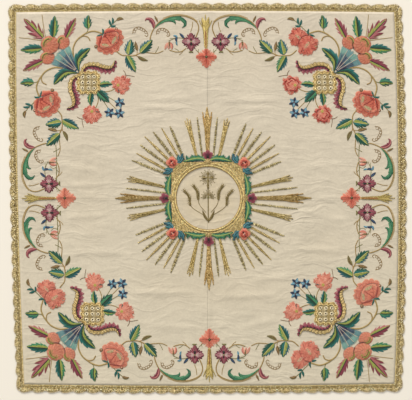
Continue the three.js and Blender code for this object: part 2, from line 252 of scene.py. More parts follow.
def fresh(name, **constants):
    """A new material, its tree of nodes and its surface, with these constants set."""
    material = bpy.data.materials.new(name)
    material.use_nodes = True
    tree = material.node_tree
    surface = tree.nodes["Principled BSDF"]
    for socket, value in constants.items():
        surface.inputs[socket.replace("_", " ")].default_value = value
    return material, tree, surface


def linear(colour):
    """The light that a colour sends back, from the colour as a chart gives it, 0 to 255."""
    share = np.asarray(colour, float) / 255
    return np.where(share < 0.04045, share / 12.92, ((share + 0.055) / 1.055) ** 2.4)


# %% Silk floss, gold thread and the silk ground
def thread_wires(tree):
    """The colour of each stitch's thread, and how far along and across its strand a point is."""
    start = Wire(tree, None)
    return start.node("ShaderNodeAttribute", attribute_name="floss"), start.node("ShaderNodeUVMap", uv_map="strand")


def floss_material():
    material, tree, surface = fresh("silk_floss", Specular_IOR_Level=0.35, Sheen_Weight=0.12, Sheen_Roughness=0.4)
    dye, strand = thread_wires(tree)
    filaments = strand.scaled(0.5, 9, 1).noise(1.6, 2.0)
    # The filaments also brighten and darken the dye along each stitch: a painted sheen, besides their bump and
    # roughness
    plug(tree, surface.inputs["Base Color"], dye.dimmed(0.78 + 0.4 * filaments))
    plug(tree, surface.inputs["Roughness"], 0.42 + 0.22 * filaments)
    plug(tree, surface.inputs["Normal"], filaments.bump(0.00006, 0.6))
    return material


def gold_material():
    material, tree, surface = fresh("gold_thread", Metallic=0.4, Specular_IOR_Level=0.5)
    gilt, strand = thread_wires(tree)
    parts = strand.node("ShaderNodeSeparateXYZ", {0: strand})
    across = Wire(tree, parts.socket.node.outputs[1])
    plies = (parts * 9.0 + across * 4.0).sine()
    place = strand.node("ShaderNodeTexCoord", output=3)
    tarnish = place.noise(260, 2.0)
    glint = place.noise(2600, 1.0)
    # The ply twist shades the base colour a little, as painted shade, and the glint noise paints fine highlights into
    # it
    shade = 0.62 + 0.34 * glint + 0.42 * tarnish + 0.06 * plies
    plug(tree, surface.inputs["Base Color"], gilt.dimmed(shade))
    plug(tree, surface.inputs["Roughness"], 0.62 - 0.4 * glint)
    plug(tree, surface.inputs["Normal"], (plies + 2.0 * glint).bump(0.00008, 0.8))
    return material


def silk_material():
    material, tree, surface = fresh("cream_silk", Specular_IOR_Level=0.28, Sheen_Weight=0.15, Sheen_Roughness=0.5)
    start = Wire(tree, None)
    place = start.node("ShaderNodeTexCoord", output=3)
    tone = start.node("ShaderNodeAttribute", attribute_name="floss")
    clouds = place.noise(22, 5.0, 0.65)
    specks = place.noise(420, 2.0, 0.6)
    slubs = place.scaled(60, 900, 900).noise(1.0, 2.0)
    # Wrinkles run mostly level, but they waver, and they gather in some places
    sway = place.noise(11, 2.0).node("ShaderNodeCombineXYZ", {1: place.noise(14, 2.0)})
    swayed = place.node("ShaderNodeVectorMath", {0: place, 1: sway.scaled(0, 0.05, 0)}, operation="ADD")
    gathered = place.noise(10, 2.0).math("POWER", place.noise(10, 2.0), 2.0)
    wrinkles = swayed.scaled(30, 100, 1).noise(1.0, 4.0, 0.65) * (gathered * 1.2 + 0.12)
    # Sharp little creases, level ones and short slanting ones, which bump the surface and also darken the base colour
    # below as painted shade
    level = swayed.scaled(13, 60, 1).noise(1.0, 2.0, 0.5).crest(12)
    slanting = swayed.scaled(52, 64, 1).noise(1.0, 1.0, 0.5).crest(9)
    creases = level * (gathered * 0.55 + 0.06) + slanting * (gathered * 0.26 + 0.03)
    # Each fold line is darkened in the base colour as a fine brown line: painted shade in the fold
    away = []
    for axis in (0, 1):
        part = place.node("ShaderNodeSeparateXYZ", {0: place}, output=axis)
        away.append(part.math("ABSOLUTE", part))
    line = []
    for across, along in (away, away[::-1]):
        thread = across.math("MAXIMUM", 1.0 - across * (1 / FOLD_SHADE_HALF_WIDTH), 0.0)
        line.append(thread * along.math("LESS_THAN", along, FOLD_END * MM))
    fold_shade = 1.0 - 0.3 * line[0] - 0.16 * line[1]
    # The base colour is darker along the creases and the fold lines: painted shade
    shade = (0.74 + 0.26 * clouds + 0.25 * specks + 0.06 * slubs - 0.16 * creases) * fold_shade
    plug(tree, surface.inputs["Base Color"], tone.dimmed(shade))
    plug(tree, surface.inputs["Roughness"], 0.5 + 0.2 * slubs)
    plug(tree, surface.inputs["Normal"], (slubs * 0.06 + wrinkles + creases).bump(0.0012, 0.75))
    return material


FLOSS = floss_material()
GOLD = gold_material()
SILK = silk_material()
print("materials:", [m.name for m in (FLOSS, GOLD, SILK)])

# %% [markdown]
# ## One stitch, modelled once
#
# A satin stitch is a strand that lies on the silk: thin at both ends where it goes through, rounded on top.
# A sphere with few sides, laid on its side and cut in half, has just that shape. It is modelled once, and
# every stitch on the veil, in silk or in gold, is a copy of it. There are some hundred thousand of them, so
# the strand has only eight faces, and smooth shading makes it look round.

# %% Model the strand
SIDES_ROUND, RINGS = 4, 3


def strand(name):
    """Half of a long bead, from x = 0 to 1, y from -0.5 to 0.5 and its top at z = 1."""
    bpy.ops.object.select_all(action="DESELECT")
    bpy.ops.mesh.primitive_uv_sphere_add(segments=SIDES_ROUND, ring_count=RINGS, radius=0.5, location=(0, 0, 0))
    made = bpy.context.active_object
    made.name = name
    bpy.ops.object.mode_set(mode="EDIT")
    bpy.ops.mesh.select_all(action="SELECT")
    bpy.ops.transform.rotate(value=math.pi / 2, orient_axis="Y", center_override=(0, 0, 0))
    bpy.ops.mesh.bisect(plane_co=(0, 0, 0), plane_no=(0, 0, 1), clear_inner=True)
    bpy.ops.mesh.select_all(action="SELECT")
    bpy.ops.transform.resize(value=(1, 1, 2), center_override=(0, 0, 0))
    bpy.ops.transform.translate(value=(0.5, 0, 0))
    bpy.ops.mesh.quads_convert_to_tris()
    bpy.ops.object.mode_set(mode="OBJECT")
    mesh = made.data
    points = np.array([v.co for v in mesh.vertices])
    corners = np.array([list(p.vertices) for p in mesh.polygons])
    bpy.data.objects.remove(made)
    print(name, "has", len(corners), "triangles")
    return points, corners


STRAND = strand("strand")

# %% [markdown]
# ## Stitches as rows of numbers
#
# A stitch is where it starts and ends, its width, how high each end lies above the silk, and the colour of
# its thread. A petal or a leaf is then a list of such rows. Rows are easy to mirror into the other corners,
# and one function turns all the rows of a piece into its mesh.

# %% Rows of stitches
def rows(start, end, width, low, high, colour):
    """One row for each stitch: start x and y, end x and y, width, height at both ends, red, green, blue."""
    start, end = np.atleast_2d(start), np.atleast_2d(end)
    made = np.empty((len(start), 10))
    made[:, 0:2] = start
    made[:, 2:4] = end
    made[:, 4], made[:, 5], made[:, 6] = width, low, high
    made[:, 7:10] = colour
    return made


def mirrored(stitches, side_x, side_y, swapped=False):
    """The same stitches in another corner, over the middle lines and, if swapped, over the slope."""
    made = stitches.copy()
    for i in (0, 2):
        x, y = stitches[:, i], stitches[:, i + 1]
        if swapped:
            x, y = y, x
        made[:, i], made[:, i + 1] = x * side_x, y * side_y
    return made


CORNERS = [(1, 1), (-1, 1), (-1, -1), (1, -1)]
FOUR = [(side_x, side_y, False) for side_x, side_y in CORNERS]
EIGHT = FOUR + [(side_x, side_y, True) for side_x, side_y in CORNERS]


def dyed(stitches, spread=5.0):
    """Thread is dyed by hand, so each stitch is a shade lighter or darker, in a few steps."""
    steps = np.round(np.clip(chance.normal(0, 1, len(stitches)), -2, 2))
    stitches[:, 7:10] += (steps * spread)[:, None]
    return stitches


# %% From rows to a mesh
CELL_MARGIN = 0.08  # kept free round each square of the map for the export


def in_frame(x, y, z):
    """Points of the cloth in mm, as points in metres where the solid pieces are."""
    return np.stack([x + SHIFT[0], y + SHIFT[1], z], -1) * MM


def give_colour(mesh, colours):
    """Each point of the mesh carries a colour, which the material reads."""
    light = np.ones((len(mesh.vertices), 4), np.float32)
    light[:, :3] = linear(colours)
    mesh.attributes.new("floss", "FLOAT_COLOR", "POINT").data.foreach_set("color", light.ravel())


def give_map(mesh, name, points):
    mesh.uv_layers.new(name=name).uv.foreach_set("vector", points.astype(np.float32).ravel())


def sew(name, stitches, material, stands_for=(), rise=0.42):
    """One piece made of all these stitches. rise is how high a stitch stands up for its width."""
    points, corners = STRAND
    n, m, t = len(stitches), len(points), len(corners)
    x0, y0 = lie(stitches[:, 0], stitches[:, 1])
    x1, y1 = lie(stitches[:, 2], stitches[:, 3])
    z0 = height_at(stitches[:, 0], stitches[:, 1]) + stitches[:, 5]
    z1 = height_at(stitches[:, 2], stitches[:, 3]) + stitches[:, 6]
    length = np.maximum(np.hypot(x1 - x0, y1 - y0), 1e-6)
    side_x, side_y = -(y1 - y0) / length, (x1 - x0) / length
    along, across, up = points.T[:, None]
    width = stitches[:, 4][:, None]
    x = x0[:, None] + (x1 - x0)[:, None] * along + side_x[:, None] * across * width
    y = y0[:, None] + (y1 - y0)[:, None] * along + side_y[:, None] * across * width
    z = z0[:, None] + (z1 - z0)[:, None] * along + up * width * rise

    mesh = bpy.data.meshes.new(name)
    mesh.vertices.add(n * m)
    mesh.vertices.foreach_set("co", in_frame(x, y, z).astype(np.float32).ravel())
    loops = (corners[None] + (np.arange(n) * m)[:, None, None]).reshape(-1)
    mesh.loops.add(len(loops))
    mesh.loops.foreach_set("vertex_index", loops.astype(np.int32))
    mesh.polygons.add(n * t)
    mesh.polygons.foreach_set("loop_start", np.arange(n * t, dtype=np.int32) * 3)
    mesh.polygons.foreach_set("use_smooth", np.ones(n * t, bool))
    mesh.update(calc_edges=True)

    # Few shades of dye, so that all stitches of one shade can share a square of the map for the export
    colours = np.clip(np.round(stitches[:, 7:10] / 3) * 3, 4, 255)
    give_colour(mesh, np.repeat(colours, m, axis=0))
    _, shade = np.unique(colours, axis=0, return_inverse=True)
    shade = shade.reshape(-1, 1)
    cells = math.ceil(math.sqrt(shade.max() + 1))
    corner_along = points[corners][:, :, 0].reshape(1, -1)
    corner_across = (points[corners][:, :, 1] + 0.5).reshape(1, -1)
    inside = 1 - 2 * CELL_MARGIN
    u = (shade % cells + CELL_MARGIN + inside * corner_along) / cells
    v = (shade // cells + CELL_MARGIN + inside * corner_across) / cells
    give_map(mesh, "OFBake", np.stack([u, v], 2))
    # Another map in mm along each strand, which the thread's filaments and plies follow
    offset = chance.uniform(0, 40, n)[:, None]
    give_map(mesh, "strand", np.stack([corner_along * length[:, None] + offset, corner_across + offset], 2))
    return finish_piece(name, mesh, material, stands_for)


def finish_piece(name, mesh, material, stands_for=()):
    """An object of this mesh, which rides on the body and stands for its solid pieces."""
    piece = bpy.data.objects.new(name, mesh)
    bpy.context.scene.collection.objects.link(piece)
    mesh.materials.append(material)
    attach(piece, "root")
    if stands_for:
        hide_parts(*stands_for)
    return piece


ON_SILK = []  # every piece that is sewn to the silk


def needlework(name, stitches, stands_for=()):
    ON_SILK.append(sew(name, stitches, FLOSS, stands_for))


def goldwork(name, stitches, stands_for=()):
    ON_SILK.append(sew(name, stitches, GOLD, stands_for, rise=0.5))


# %% [markdown]
# ## The stitches an embroiderer knows
#
# Stem stitch follows a line. Long-and-short stitch fills a shape from its middle to its edge in overlapping
# rows, so that one colour shades into the next. A leaf is filled from its rib outwards, a flower round its
# centre. These few ways of filling make every flower, leaf and fruit on the veil.

# %% The thread colours
CORAL = (204, 104, 80)
CORAL_LIGHT = (220, 136, 108)
CORAL_PALE = (228, 164, 136)
CORAL_DEEP = (160, 58, 44)
OLIVE = (126, 118, 66)
LEAF_LIGHT = (152, 160, 76)
LEAF_DARK = (34, 84, 66)
TEAL = (44, 112, 104)
RIB = (44, 38, 34)
PURPLE = (134, 62, 72)
PURPLE_DARK = (84, 34, 46)
ROSE = (182, 108, 106)
NAVY = (44, 54, 82)
SKY = (104, 150, 164)
MID_BLUE = (64, 98, 122)
CREAM = (224, 211, 182)
BROWN = (116, 86, 56)
BRONZE = (160, 132, 78)
GILT = (216, 180, 108)
GILT_BRIGHT = (246, 220, 156)
GILT_DULL = (162, 140, 88)
BLUE_GREEN = (44, 100, 106)
MINT = (74, 134, 92)
YELLOW_RIB = (192, 184, 108)
PLUM = (138, 64, 74)
# The two halves of a small green leaf, each from its edge inwards
GREEN_LEAF = (LEAF_DARK, TEAL, TEAL, LEAF_DARK)


STITCH = 0.68  # mm from one stitch to the next in a filled shape


# %% Lines and shapes
def smooth(points):
    """Close points along a smooth line through these."""
    p = np.array(points, float)
    ends = np.vstack([2 * p[0] - p[1], p, 2 * p[-1] - p[-2]])
    t = np.linspace(0, 1, 12, endpoint=False)[:, None]
    dense = []
    for a, b, c, d in zip(ends, ends[1:], ends[2:], ends[3:]):
        bend = (2 * a - 5 * b + 4 * c - d) * t**2 + (3 * b - a - 3 * c + d) * t**3
        dense.append(0.5 * (2 * b + (c - a) * t + bend))
    return np.vstack(dense + [p[-1:]])


def reach_of(line):
    """How far along the line each of its points is."""
    return np.concatenate([[0], np.cumsum(np.linalg.norm(np.diff(line, axis=0), axis=1))])


def spot(line, share):
    """The point at each share of a line's length."""
    reach = reach_of(line)
    at = np.clip(share, 0, 1) * reach[-1]
    return np.stack([np.interp(at, reach, line[:, k]) for k in (0, 1)], 1)


def curve(points, step):
    """Points at even steps along a smooth line through these, and the way the line runs at each."""
    dense = smooth(points)
    count = max(3, int(round(reach_of(dense)[-1] / step)) + 1)
    line = spot(dense, np.linspace(0, 1, count))
    way = np.gradient(line, axis=0)
    return line, way / np.linalg.norm(way, axis=1, keepdims=True)


def aside(way):
    return np.stack([-way[:, 1], way[:, 0]], 1)


def around(angles):
    """A point 1 mm from the centre for each of these angles."""
    return np.stack([np.cos(angles), np.sin(angles)], 1)


def polar(radius, degrees):
    """The point this far from the centre, in this direction."""
    turn = math.radians(degrees)
    return np.array([math.cos(turn), math.sin(turn)]) * radius


def loose(count, amount):
    """Hands aren't machines: numbers that vary a little."""
    return chance.uniform(-amount, amount, count)


def blend(a, b, share):
    """One colour at share 0, the other at share 1."""
    share = np.asarray(share, float)[..., None]
    return np.asarray(a, float) * (1 - share) + np.asarray(b, float) * share


def stem(points, width, colour, stitch=2.4, lift=0.1):
    """Stem stitch along a line, each stitch half beside the last."""
    line, way = curve(points, stitch * 0.55)
    over = way[:-1] * stitch * 0.3
    nudge = aside(way[:-1]) * width * 0.16
    return dyed(rows(line[:-1] - over + nudge, line[1:] + over - nudge, width, lift, lift, colour))


def fill(inner, outer, tones, heights=(0.5, 0.15), rough=0.05):
    """Long-and-short stitches from one line to another, in a row for each tone."""
    inner, outer = smooth(inner), smooth(outer)
    n = max(4, int(reach_of(outer)[-1] / STITCH))
    t = (np.arange(n) + 0.5 + loose(n, 0.3)) / n
    near, far = spot(inner, t), spot(outer, t)
    made = []
    for i, tone in enumerate(tones):
        low = np.clip((i - 0.15) / len(tones) + loose(n, rough), 0, 1)[:, None]
        high = ((i + 1.15) / len(tones) if i + 1 < len(tones) else 1.0) + loose(n, rough)[:, None]
        lifts = [heights[0] + (heights[1] - heights[0]) * (row / len(tones)) for row in (i, i + 1)]
        colour = tone(t) if callable(tone) else tone
        made.append(dyed(rows(near + (far - near) * low, near + (far - near) * high, STITCH * 1.5, *lifts, colour)))
    return np.vstack(made)


def leaf(spine, half, colours, teeth=0, bite=0.4, lean=40, dome=0.35, rib=RIB, peak=0.45):
    """A leaf or pointed petal. colours: outer and inner on the left of its spine, then on its right."""
    line, way = curve(spine, STITCH)
    n = len(line)
    t = np.linspace(0.04, 1, n)
    full = half * np.sin(np.pi * t ** (math.log(0.5) / math.log(peak))).clip(0) ** 0.85
    back = full / math.tan(math.radians(lean)) / (STITCH * (n - 1))
    root = spot(line, t - back * (1 - 0.35 * t))
    hook = np.zeros(n)
    if teeth:
        tooth = (t * teeth) % 1.0
        full = full * (1 + 0.12 - bite * (1 - tooth))
        hook = (tooth - 0.4) * bite * full * 0.5
    made = []
    for side, outer, inner in ((1, *colours[:2]), (-1, *colours[2:])):
        edge = line + aside(way) * (side * full)[:, None] + way * hook[:, None]
        part = (0.5 + loose(n, 0.1))[:, None]
        out = edge - root
        made.append(rows(root, root + out * (part + 0.14), STITCH * 1.9, 0.1 + dome, 0.1 + dome * 0.6, inner))
        made.append(rows(root + out * (part - 0.14), edge, STITCH * 1.7, 0.14 + dome * 0.6, 0.08, outer))
    made = [dyed(part) for part in made]
    if rib is not None:
        made.append(stem(line[1 : max(4, int(n * 0.88))], 1.25, rib, lift=0.3 + dome))
    return np.vstack(made)


def ring(centre, inner, outer, colour, spacing=STITCH, low=0.3, high=0.2, span=(0, 360), rough=0.07):
    """Stitches that run out from a centre, between two radii."""
    share = abs(span[1] - span[0]) / 360
    n = max(4, int(2 * math.pi * share * (inner * 0.3 + outer * 0.7) / spacing))
    angle = np.radians(span[0] + (np.arange(n) + 0.5 + loose(n, 0.25)) / n * (span[1] - span[0]))
    out = around(angle)
    near = (inner * (1 + loose(n, rough)))[:, None]
    far = (outer * (1 + loose(n, rough * 0.6)))[:, None]
    return dyed(rows(centre + out * near, centre + out * far, spacing * 1.5, low, high, colour))


def scalloped(points, count, depth):
    """A line with this many round scallops on its left."""
    line, way = curve(points, 0.8)
    t = np.linspace(0, 1, len(line))
    uneven = count * (t + 0.03 * np.sin(15 * t + 1) * np.sin(np.pi * t))
    return line + aside(way) * (depth * np.abs(np.sin(np.pi * uneven)) ** 0.75)[:, None]


def loop(centre, radius, count=0, depth=0.0, turn=0.0):
    """A closed line round a centre, plain or with this many lobes."""
    a = np.linspace(0, 2 * np.pi, 61) + math.radians(turn)
    reach = radius + 0 * a
    if count:
        reach = radius - depth * (1 - np.abs(np.cos(count * (a - math.radians(turn)) / 2)))
    return np.array(centre) + around(a) * reach[:, None]


def knot(centre, radius, colour, lift=0.5):
    """A small round dot of stitches."""
    return ring(np.array(centre), 0, radius, colour, spacing=0.5, low=lift + 0.3, high=lift, rough=0.02)


# %% [markdown]
# ## The large flowers
#
# The double rose opens from its green cup: smooth petals spread over a ring of small ones, parted by deep red
# lines, and two seed cases show as green windows. The carnation is a ruffled ring round a yellow heart. The
# pansy and the flower in the middle of each side have four pointed petals, worked from the middle outwards.

# %% The double rose
ROSE_MIDDLE = np.array([137.6, 225.0])
ROSE_CUP = (7.1, 10.3)


def in_rose(*points):
    """Places measured from the middle of the rose."""
    return [ROSE_MIDDLE + np.array(point) for point in points]


def window(centre, long_half, short_half, degrees):
    """A seed case: an oval of yellow-green lattice with a red outline."""
    axis = polar(1, degrees)
    side = np.array([-axis[1], axis[0]])
    t = np.linspace(-0.92, 0.92, int(long_half * 3.4))[:, None]
    tall = side * (short_half * np.sqrt(1 - t**2))
    middle = np.array(centre) + axis * long_half * t
    slant = axis * 0.9
    a = np.linspace(0, 2 * np.pi, 19)[:, None]
    oval = np.array(centre) + axis * long_half * np.cos(a) + side * short_half * np.sin(a)
    return np.vstack([
        dyed(rows(middle - tall, middle + tall, 0.8, 0.95, 0.95, (162, 152, 92)), 10),
        rows((middle - tall - slant)[::3], (middle + tall + slant)[::3], 0.45, 1.2, 1.2, CREAM),
        rows(oval[:-1], oval[1:], 0.6, 1.1, 1.1, (186, 84, 62)),
    ])


def patchy(t):
    """Light and deeper coral in turn, as dye lots meet."""
    return blend(CORAL_LIGHT, CORAL_DEEP, 0.28 + 0.28 * np.sin(23 * t + 9 * np.sin(7 * t)))


def other_patches(t):
    """The same patches, a little further along the petal."""
    return patchy(t + 0.37)


def ruffled(centre, radius, lobes, depth, turn):
    """A closed line round a centre, with uneven lobes."""
    a = np.linspace(0, 2 * np.pi, 73)
    reach = radius - depth * (1 - np.abs(np.sin(lobes * a / 2 + 0.6 * np.sin(2 * a + turn))))
    reach = reach * (1 + 0.07 * np.sin(3 * a + turn))
    return np.array(centre) + around(a) * reach[:, None]


def blotched(stitches, light, deep, size=1.5, turn=0.0):
    """The same stitches in blotches of two dyes."""
    x, y = (stitches[:, 0] + stitches[:, 2]) / 2, (stitches[:, 1] + stitches[:, 3]) / 2
    share = 0.5 + 0.5 * np.sin(x / size + turn) * np.cos(y / size * 0.8 - turn + 0.3 * x)
    stitches[:, 7:10] = blend(light, deep, share)
    return dyed(stitches, 7)


def faded(stitches, share):
    """The same stitches in paler dye, where the thread is coral."""
    made = stitches.copy()
    coral = made[:, 7] > 1.4 * made[:, 8]
    made[coral, 7:10] += (np.array(CORAL_PALE) - made[coral, 7:10]) * share
    return made


def double_rose():
    """Smooth petals that open from the cup, on a ring of small ones, with the deep lines that part them."""
    fold = in_rose((5.3, 12.0), (-3.2, 13.6), (-11, 14.4))
    middle_line = in_rose((5.4, 8.6), (0.4, 2.6), (-3.9, -4.5))
    left_line = in_rose((9.0, 7.0), (11.4, -1.0), (13.2, -7.5))
    from_cup = in_rose((4.4, 9.6), (-5, 8.6), (-12.4, 4.5))
    hem = in_rose((13.5, -7.5), (8.9, -10.2), (1.8, -9.6), (-3.9, -8.3), (-11.7, -2.5), (-15, 5.3), (-13.8, 12.4),
                  (-9, 15))
    outside = in_rose((16, -9), (9.5, -15), (2, -17), (-6, -15.5), (-13, -11), (-17.5, -3.5), (-19, 4), (-17.5, 11.5),
                      (-12, 17))
    under = in_rose((11, 11.5), (17.5, 7), (18.5, 0), (17.4, -6.5), (14, -9.5))
    above = in_rose((7, 13.5), (0, 18.5), (-7, 18), (-12.5, 15))
    left_petal = in_rose((-11, 14.4), (-14.6, 9.5), (-14.2, 4.0), (-11.2, -2.5), (-3.9, -8))
    right_petal = in_rose((-3.9, -8), (2, -9.4), (8.9, -10), (13.4, -7.4))
    cup = in_rose(ROSE_CUP, (ROSE_CUP[0] - 1.2, ROSE_CUP[1] - 0.3))
    three = (CORAL_DEEP, CORAL, CORAL_LIGHT)
    small = ((192, 92, 70), other_patches, patchy, CORAL_LIGHT)
    made = [
        fill(hem, scalloped(outside, 7, 3.0), small, (0.8, 0.14), rough=0.09),
        fill(left_line, scalloped(under, 3, -1.2), three, (0.55, 0.15)),
        fill(fold, scalloped(above, 2, -1.0), three, (0.6, 0.15)),
        fill(cup, left_petal, (CORAL_DEEP, CORAL, CORAL, patchy, CORAL_LIGHT), (0.6, 0.85)),
        fill(cup, right_petal, (CORAL_DEEP, CORAL, patchy, CORAL_LIGHT), (0.6, 0.85)),
        window(ROSE_MIDDLE + (-8.2, 1.6), 6.3, 3.2, 118),
        window(ROSE_MIDDLE + (4.6, -5.6), 5.2, 2.9, 10),
    ]
    dark = (150, 50, 40)
    for line, width, tone in ((fold, 1.2, dark), (middle_line, 1.3, dark), (left_line, 1.1, dark),
                              (hem, 0.55, (178, 78, 58)), (from_cup, 0.8, (170, 66, 52))):
        made.append(stem(line, width, tone, lift=1.1))
    made.append(stem(in_rose((1.5, 9.5), (-1.5, 8.0), (-2.8, 4.5)), 0.8, CORAL_DEEP, lift=1.1))
    shares = np.array([0.05, 0.17, 0.3, 0.43, 0.56, 0.7, 0.84, 0.95])
    for root, tip in zip(spot(smooth(hem), shares), spot(smooth(outside), shares)):
        made.append(rows(root, root + (tip - root) * 0.9, 0.9, 0.75, 0.45, dark))
    made.append(leaf(in_rose((8, 11), (7.2, 14.5), (8.8, 18.5)), 1.6, GREEN_LEAF, rib=None))
    made.append(leaf(in_rose((8.5, 9.8), (12.5, 8.5), (17, 7.4)), 1.5, GREEN_LEAF, rib=None))
    return np.vstack(made)


def rosette(middle, radius, turn):
    """A small open rose: ruffled petals round a window, parted by deep red lines."""
    petals = fill(loop(middle, 1.0), ruffled(middle, radius, 7, 2.2, turn), (CORAL,) * 5, (0.95, 0.14), rough=0.12)
    made = [blotched(petals, (222, 138, 112), (194, 86, 68), 1.9, turn)]
    made.append(window(middle, radius * 0.34, radius * 0.24, math.degrees(turn)))
    for k in range(7):
        a = turn + math.radians(360 / 7 * k + 9 * (k % 2))
        out, bent = (np.array([math.cos(a + bend), math.sin(a + bend)]) for bend in (0, 0.28))
        made.append(stem([middle + out * radius * 0.48, middle + bent * radius * 0.86], 0.9, (156, 54, 44), lift=0.8))
    return np.vstack(made)


def twin_rose():
    """Two open roses on one stalk, the lower one in front."""
    front = rosette(ROSE_MIDDLE + (5.4, -5.0), 15.6, 0.9)
    front[:, 5:7] += 0.35
    return np.vstack([
        rosette(ROSE_MIDDLE + (-7.0, 6.0), 14.0, 2.4), front,
        stem(in_rose((-8.5, -7.5), (-5.6, 1.0), (0, 7.4), (8, 9.6)), 1.0, (140, 48, 40), lift=1.2),
        leaf(in_rose((8, 9), (7.2, 13.5), (8.8, 18.5)), 1.6, GREEN_LEAF, rib=None),
        leaf(in_rose((8.5, 8.6), (12.5, 8.5), (17, 7.4)), 1.5, GREEN_LEAF, rib=None),
    ])


# %% Carnation, pansy and side flower
CARNATION = np.array([120.0, 162.8])
PANSY = np.array([20.8, 224.2])
SIDE_FLOWER = np.array([0.3, 202.2])


def carnation():
    """Ruffled petals that open from a yellow heart on the basket's side."""
    heart = CARNATION + (4.6, -0.8)
    large, small = ruffled(CARNATION, 13.8, 9, 3.0, 0.5), ruffled(CARNATION + (1.2, -0.2), 8.4, 6, 2.4, 2.0)
    outer = fill(loop(heart, 1.0), large, (CORAL,) * 5, (0.7, 0.12), rough=0.12)
    inner = fill(loop(heart, 0.8), small, (CORAL,) * 3, (0.95, 0.75), rough=0.2)
    made = [
        blotched(outer, (226, 152, 128), (198, 92, 72)),
        blotched(inner, (230, 164, 138), (206, 108, 86), 1.2, 1.0),
        fill(loop(heart, 0.2), loop(heart, 2.8, 5, 0.8), ((186, 168, 84),), (1.2, 1.05)),
    ]
    for k in range(9):
        out = polar(1, 40 * k + 12 * (k % 3))
        near = 6.4 + k * 7 % 5 * 0.9
        made.append(rows(CARNATION + out * near, CARNATION + out * (near + 3.4), 0.9, 0.9, 0.6, (172, 70, 56)))
    return np.vstack(made)


def carnation_lines():
    """Deep red lines between the ruffles, which have kept their colour in one corner alone."""
    made = []
    for reach, first, last in ((9.0, 10, 120), (9.6, 140, 230), (9.0, 250, 340), (5.2, 60, 200)):
        a = np.radians(np.linspace(first, last, 12))
        arc = CARNATION + around(a) * (reach + 0.8 * np.sin(5 * a))[:, None]
        made.append(stem(arc, 1.7, (168, 54, 44), lift=1.0))
    return np.vstack(made)


def pointed(centre, degrees, length, half, colours, bite, peak):
    """A petal of the four-petalled flowers."""
    spine = [centre + polar(1, degrees) * share * length for share in (0.04, 0.5, 1)]
    return leaf(spine, half, colours, teeth=4, bite=bite, lean=52, dome=0.45, rib=None, peak=peak)


def pansy():
    light, dark, grey_rose = (154, 80, 88), (106, 42, 54), (176, 118, 120)
    side = (dark, grey_rose, dark, grey_rose)
    petals = ((0, 13.4, 7.0, side), (180, 13.4, 7.0, side), (90, 12.8, 6.8, (dark, light, PURPLE, light)),
              (270, 14.0, 7.0, (PURPLE, light, dark, light)))
    made = [pointed(PANSY, *petal, bite=0.5, peak=0.52) for petal in petals]
    made.append(ring(PANSY, 0.4, 5.0, RIB, span=(72, 108), low=0.95, high=0.7))
    made.append(ring(PANSY, 0.4, 6.6, RIB, span=(244, 296), low=0.95, high=0.7))
    for degrees in (-28, -14, 0, 14, 28):
        for out in (polar(1, degrees), polar(1, 180 + degrees)):
            made.append(rows(PANSY + out * 1.4, PANSY + out * 7.0, 0.7, 0.85, 0.7, (214, 188, 176)))
    made.append(knot(PANSY, 1.2, (150, 160, 96), 0.8))
    return np.vstack(made)


def side_flower():
    tones = ((224, 142, 116), CORAL, (216, 128, 102), CORAL)
    made = [pointed(SIDE_FLOWER, degrees, length, half, tones, bite=0.46, peak=0.54)
            for degrees, length, half in ((0, 15.2, 7.4), (180, 15.2, 7.4), (90, 12.8, 7.0), (270, 16.2, 7.4))]
    for degrees in range(0, 360, 90):
        for turn, length in ((-16, 7.5), (0, 10.5), (16, 7.5)):
            out = polar(1, degrees + turn)
            made.append(rows(SIDE_FLOWER + out * 2.4, SIDE_FLOWER + out * length, 0.8, 0.9, 0.6, CORAL_DEEP))
    made += [knot(SIDE_FLOWER, 2.4, (70, 62, 40), 0.8), knot(SIDE_FLOWER, 1.1, OLIVE, 1.0)]
    return np.vstack(made)


TWIN_ROSES = (1, 4, 7)  # in these places the two roses are open
DEEP_CARNATIONS = (1, 5)  # the two of one corner, which have kept their deep lines
FADED, FRESH = 0.36, 0.04
for number, image in enumerate(EIGHT, 1):
    # The dye has faded most in the lower half
    fade = FADED if image[1] < 0 else FRESH
    rose = faded(twin_rose() if number in TWIN_ROSES else double_rose(), fade)
    pink = faded(carnation(), fade)
    if number in DEEP_CARNATIONS:
        pink = np.vstack([pink, carnation_lines()])
    needlework(f"rose_petals_{number}", mirrored(rose, *image), [f"rose_{number}"])
    needlework(f"carnation_petals_{number}", mirrored(pink, *image), [f"carnation_{number}"])
    needlework(f"pansy_petals_{number}", mirrored(pansy(), *image), [f"pansy_{number}"])
# The four sides in the order of the solid pieces: top, bottom, right, left
SIDES = [(1, 1, False), (1, -1, False), (1, 1, True), (-1, 1, True)]
for number, (image, fade) in enumerate(zip(SIDES, (0.0, 0.25, 0.1, 0.3)), 1):
    side = faded(side_flower(), fade)
    needlework(f"side_petals_{number}", mirrored(side, *image), [f"side_flower_{number}"])
print("flowers sewn:", len(ON_SILK))

# %% [markdown]
# ## Fruit, fan and palm leaves
#
# Each corner holds three fruits on a blue fan, with palm leaves behind. The stitches of a fruit whirl round a
# point near its upper side in streaks of light and deep coral, so that it looks round, and a patch of olive
# shows where it is still unripe. The fan runs from light blue at its rim to navy at its foot.

# %% Fruit and fan
# Each fruit: its middle, half its width and height, and how far it stands up
FRUITS = [((202.0, 224.0), 9.2, 10.4, 0.7), ((224.0, 202.0), 10.4, 9.2, 0.7), ((220.5, 220.5), 12.9, 12.9, 1.0)]
UNRIPE = (146, 140, 66)
FRUIT_STITCH = 0.56  # mm from one stitch to the next
WHIRL = 0.5  # how far round the stitches turn between the middle and the rim, in radians


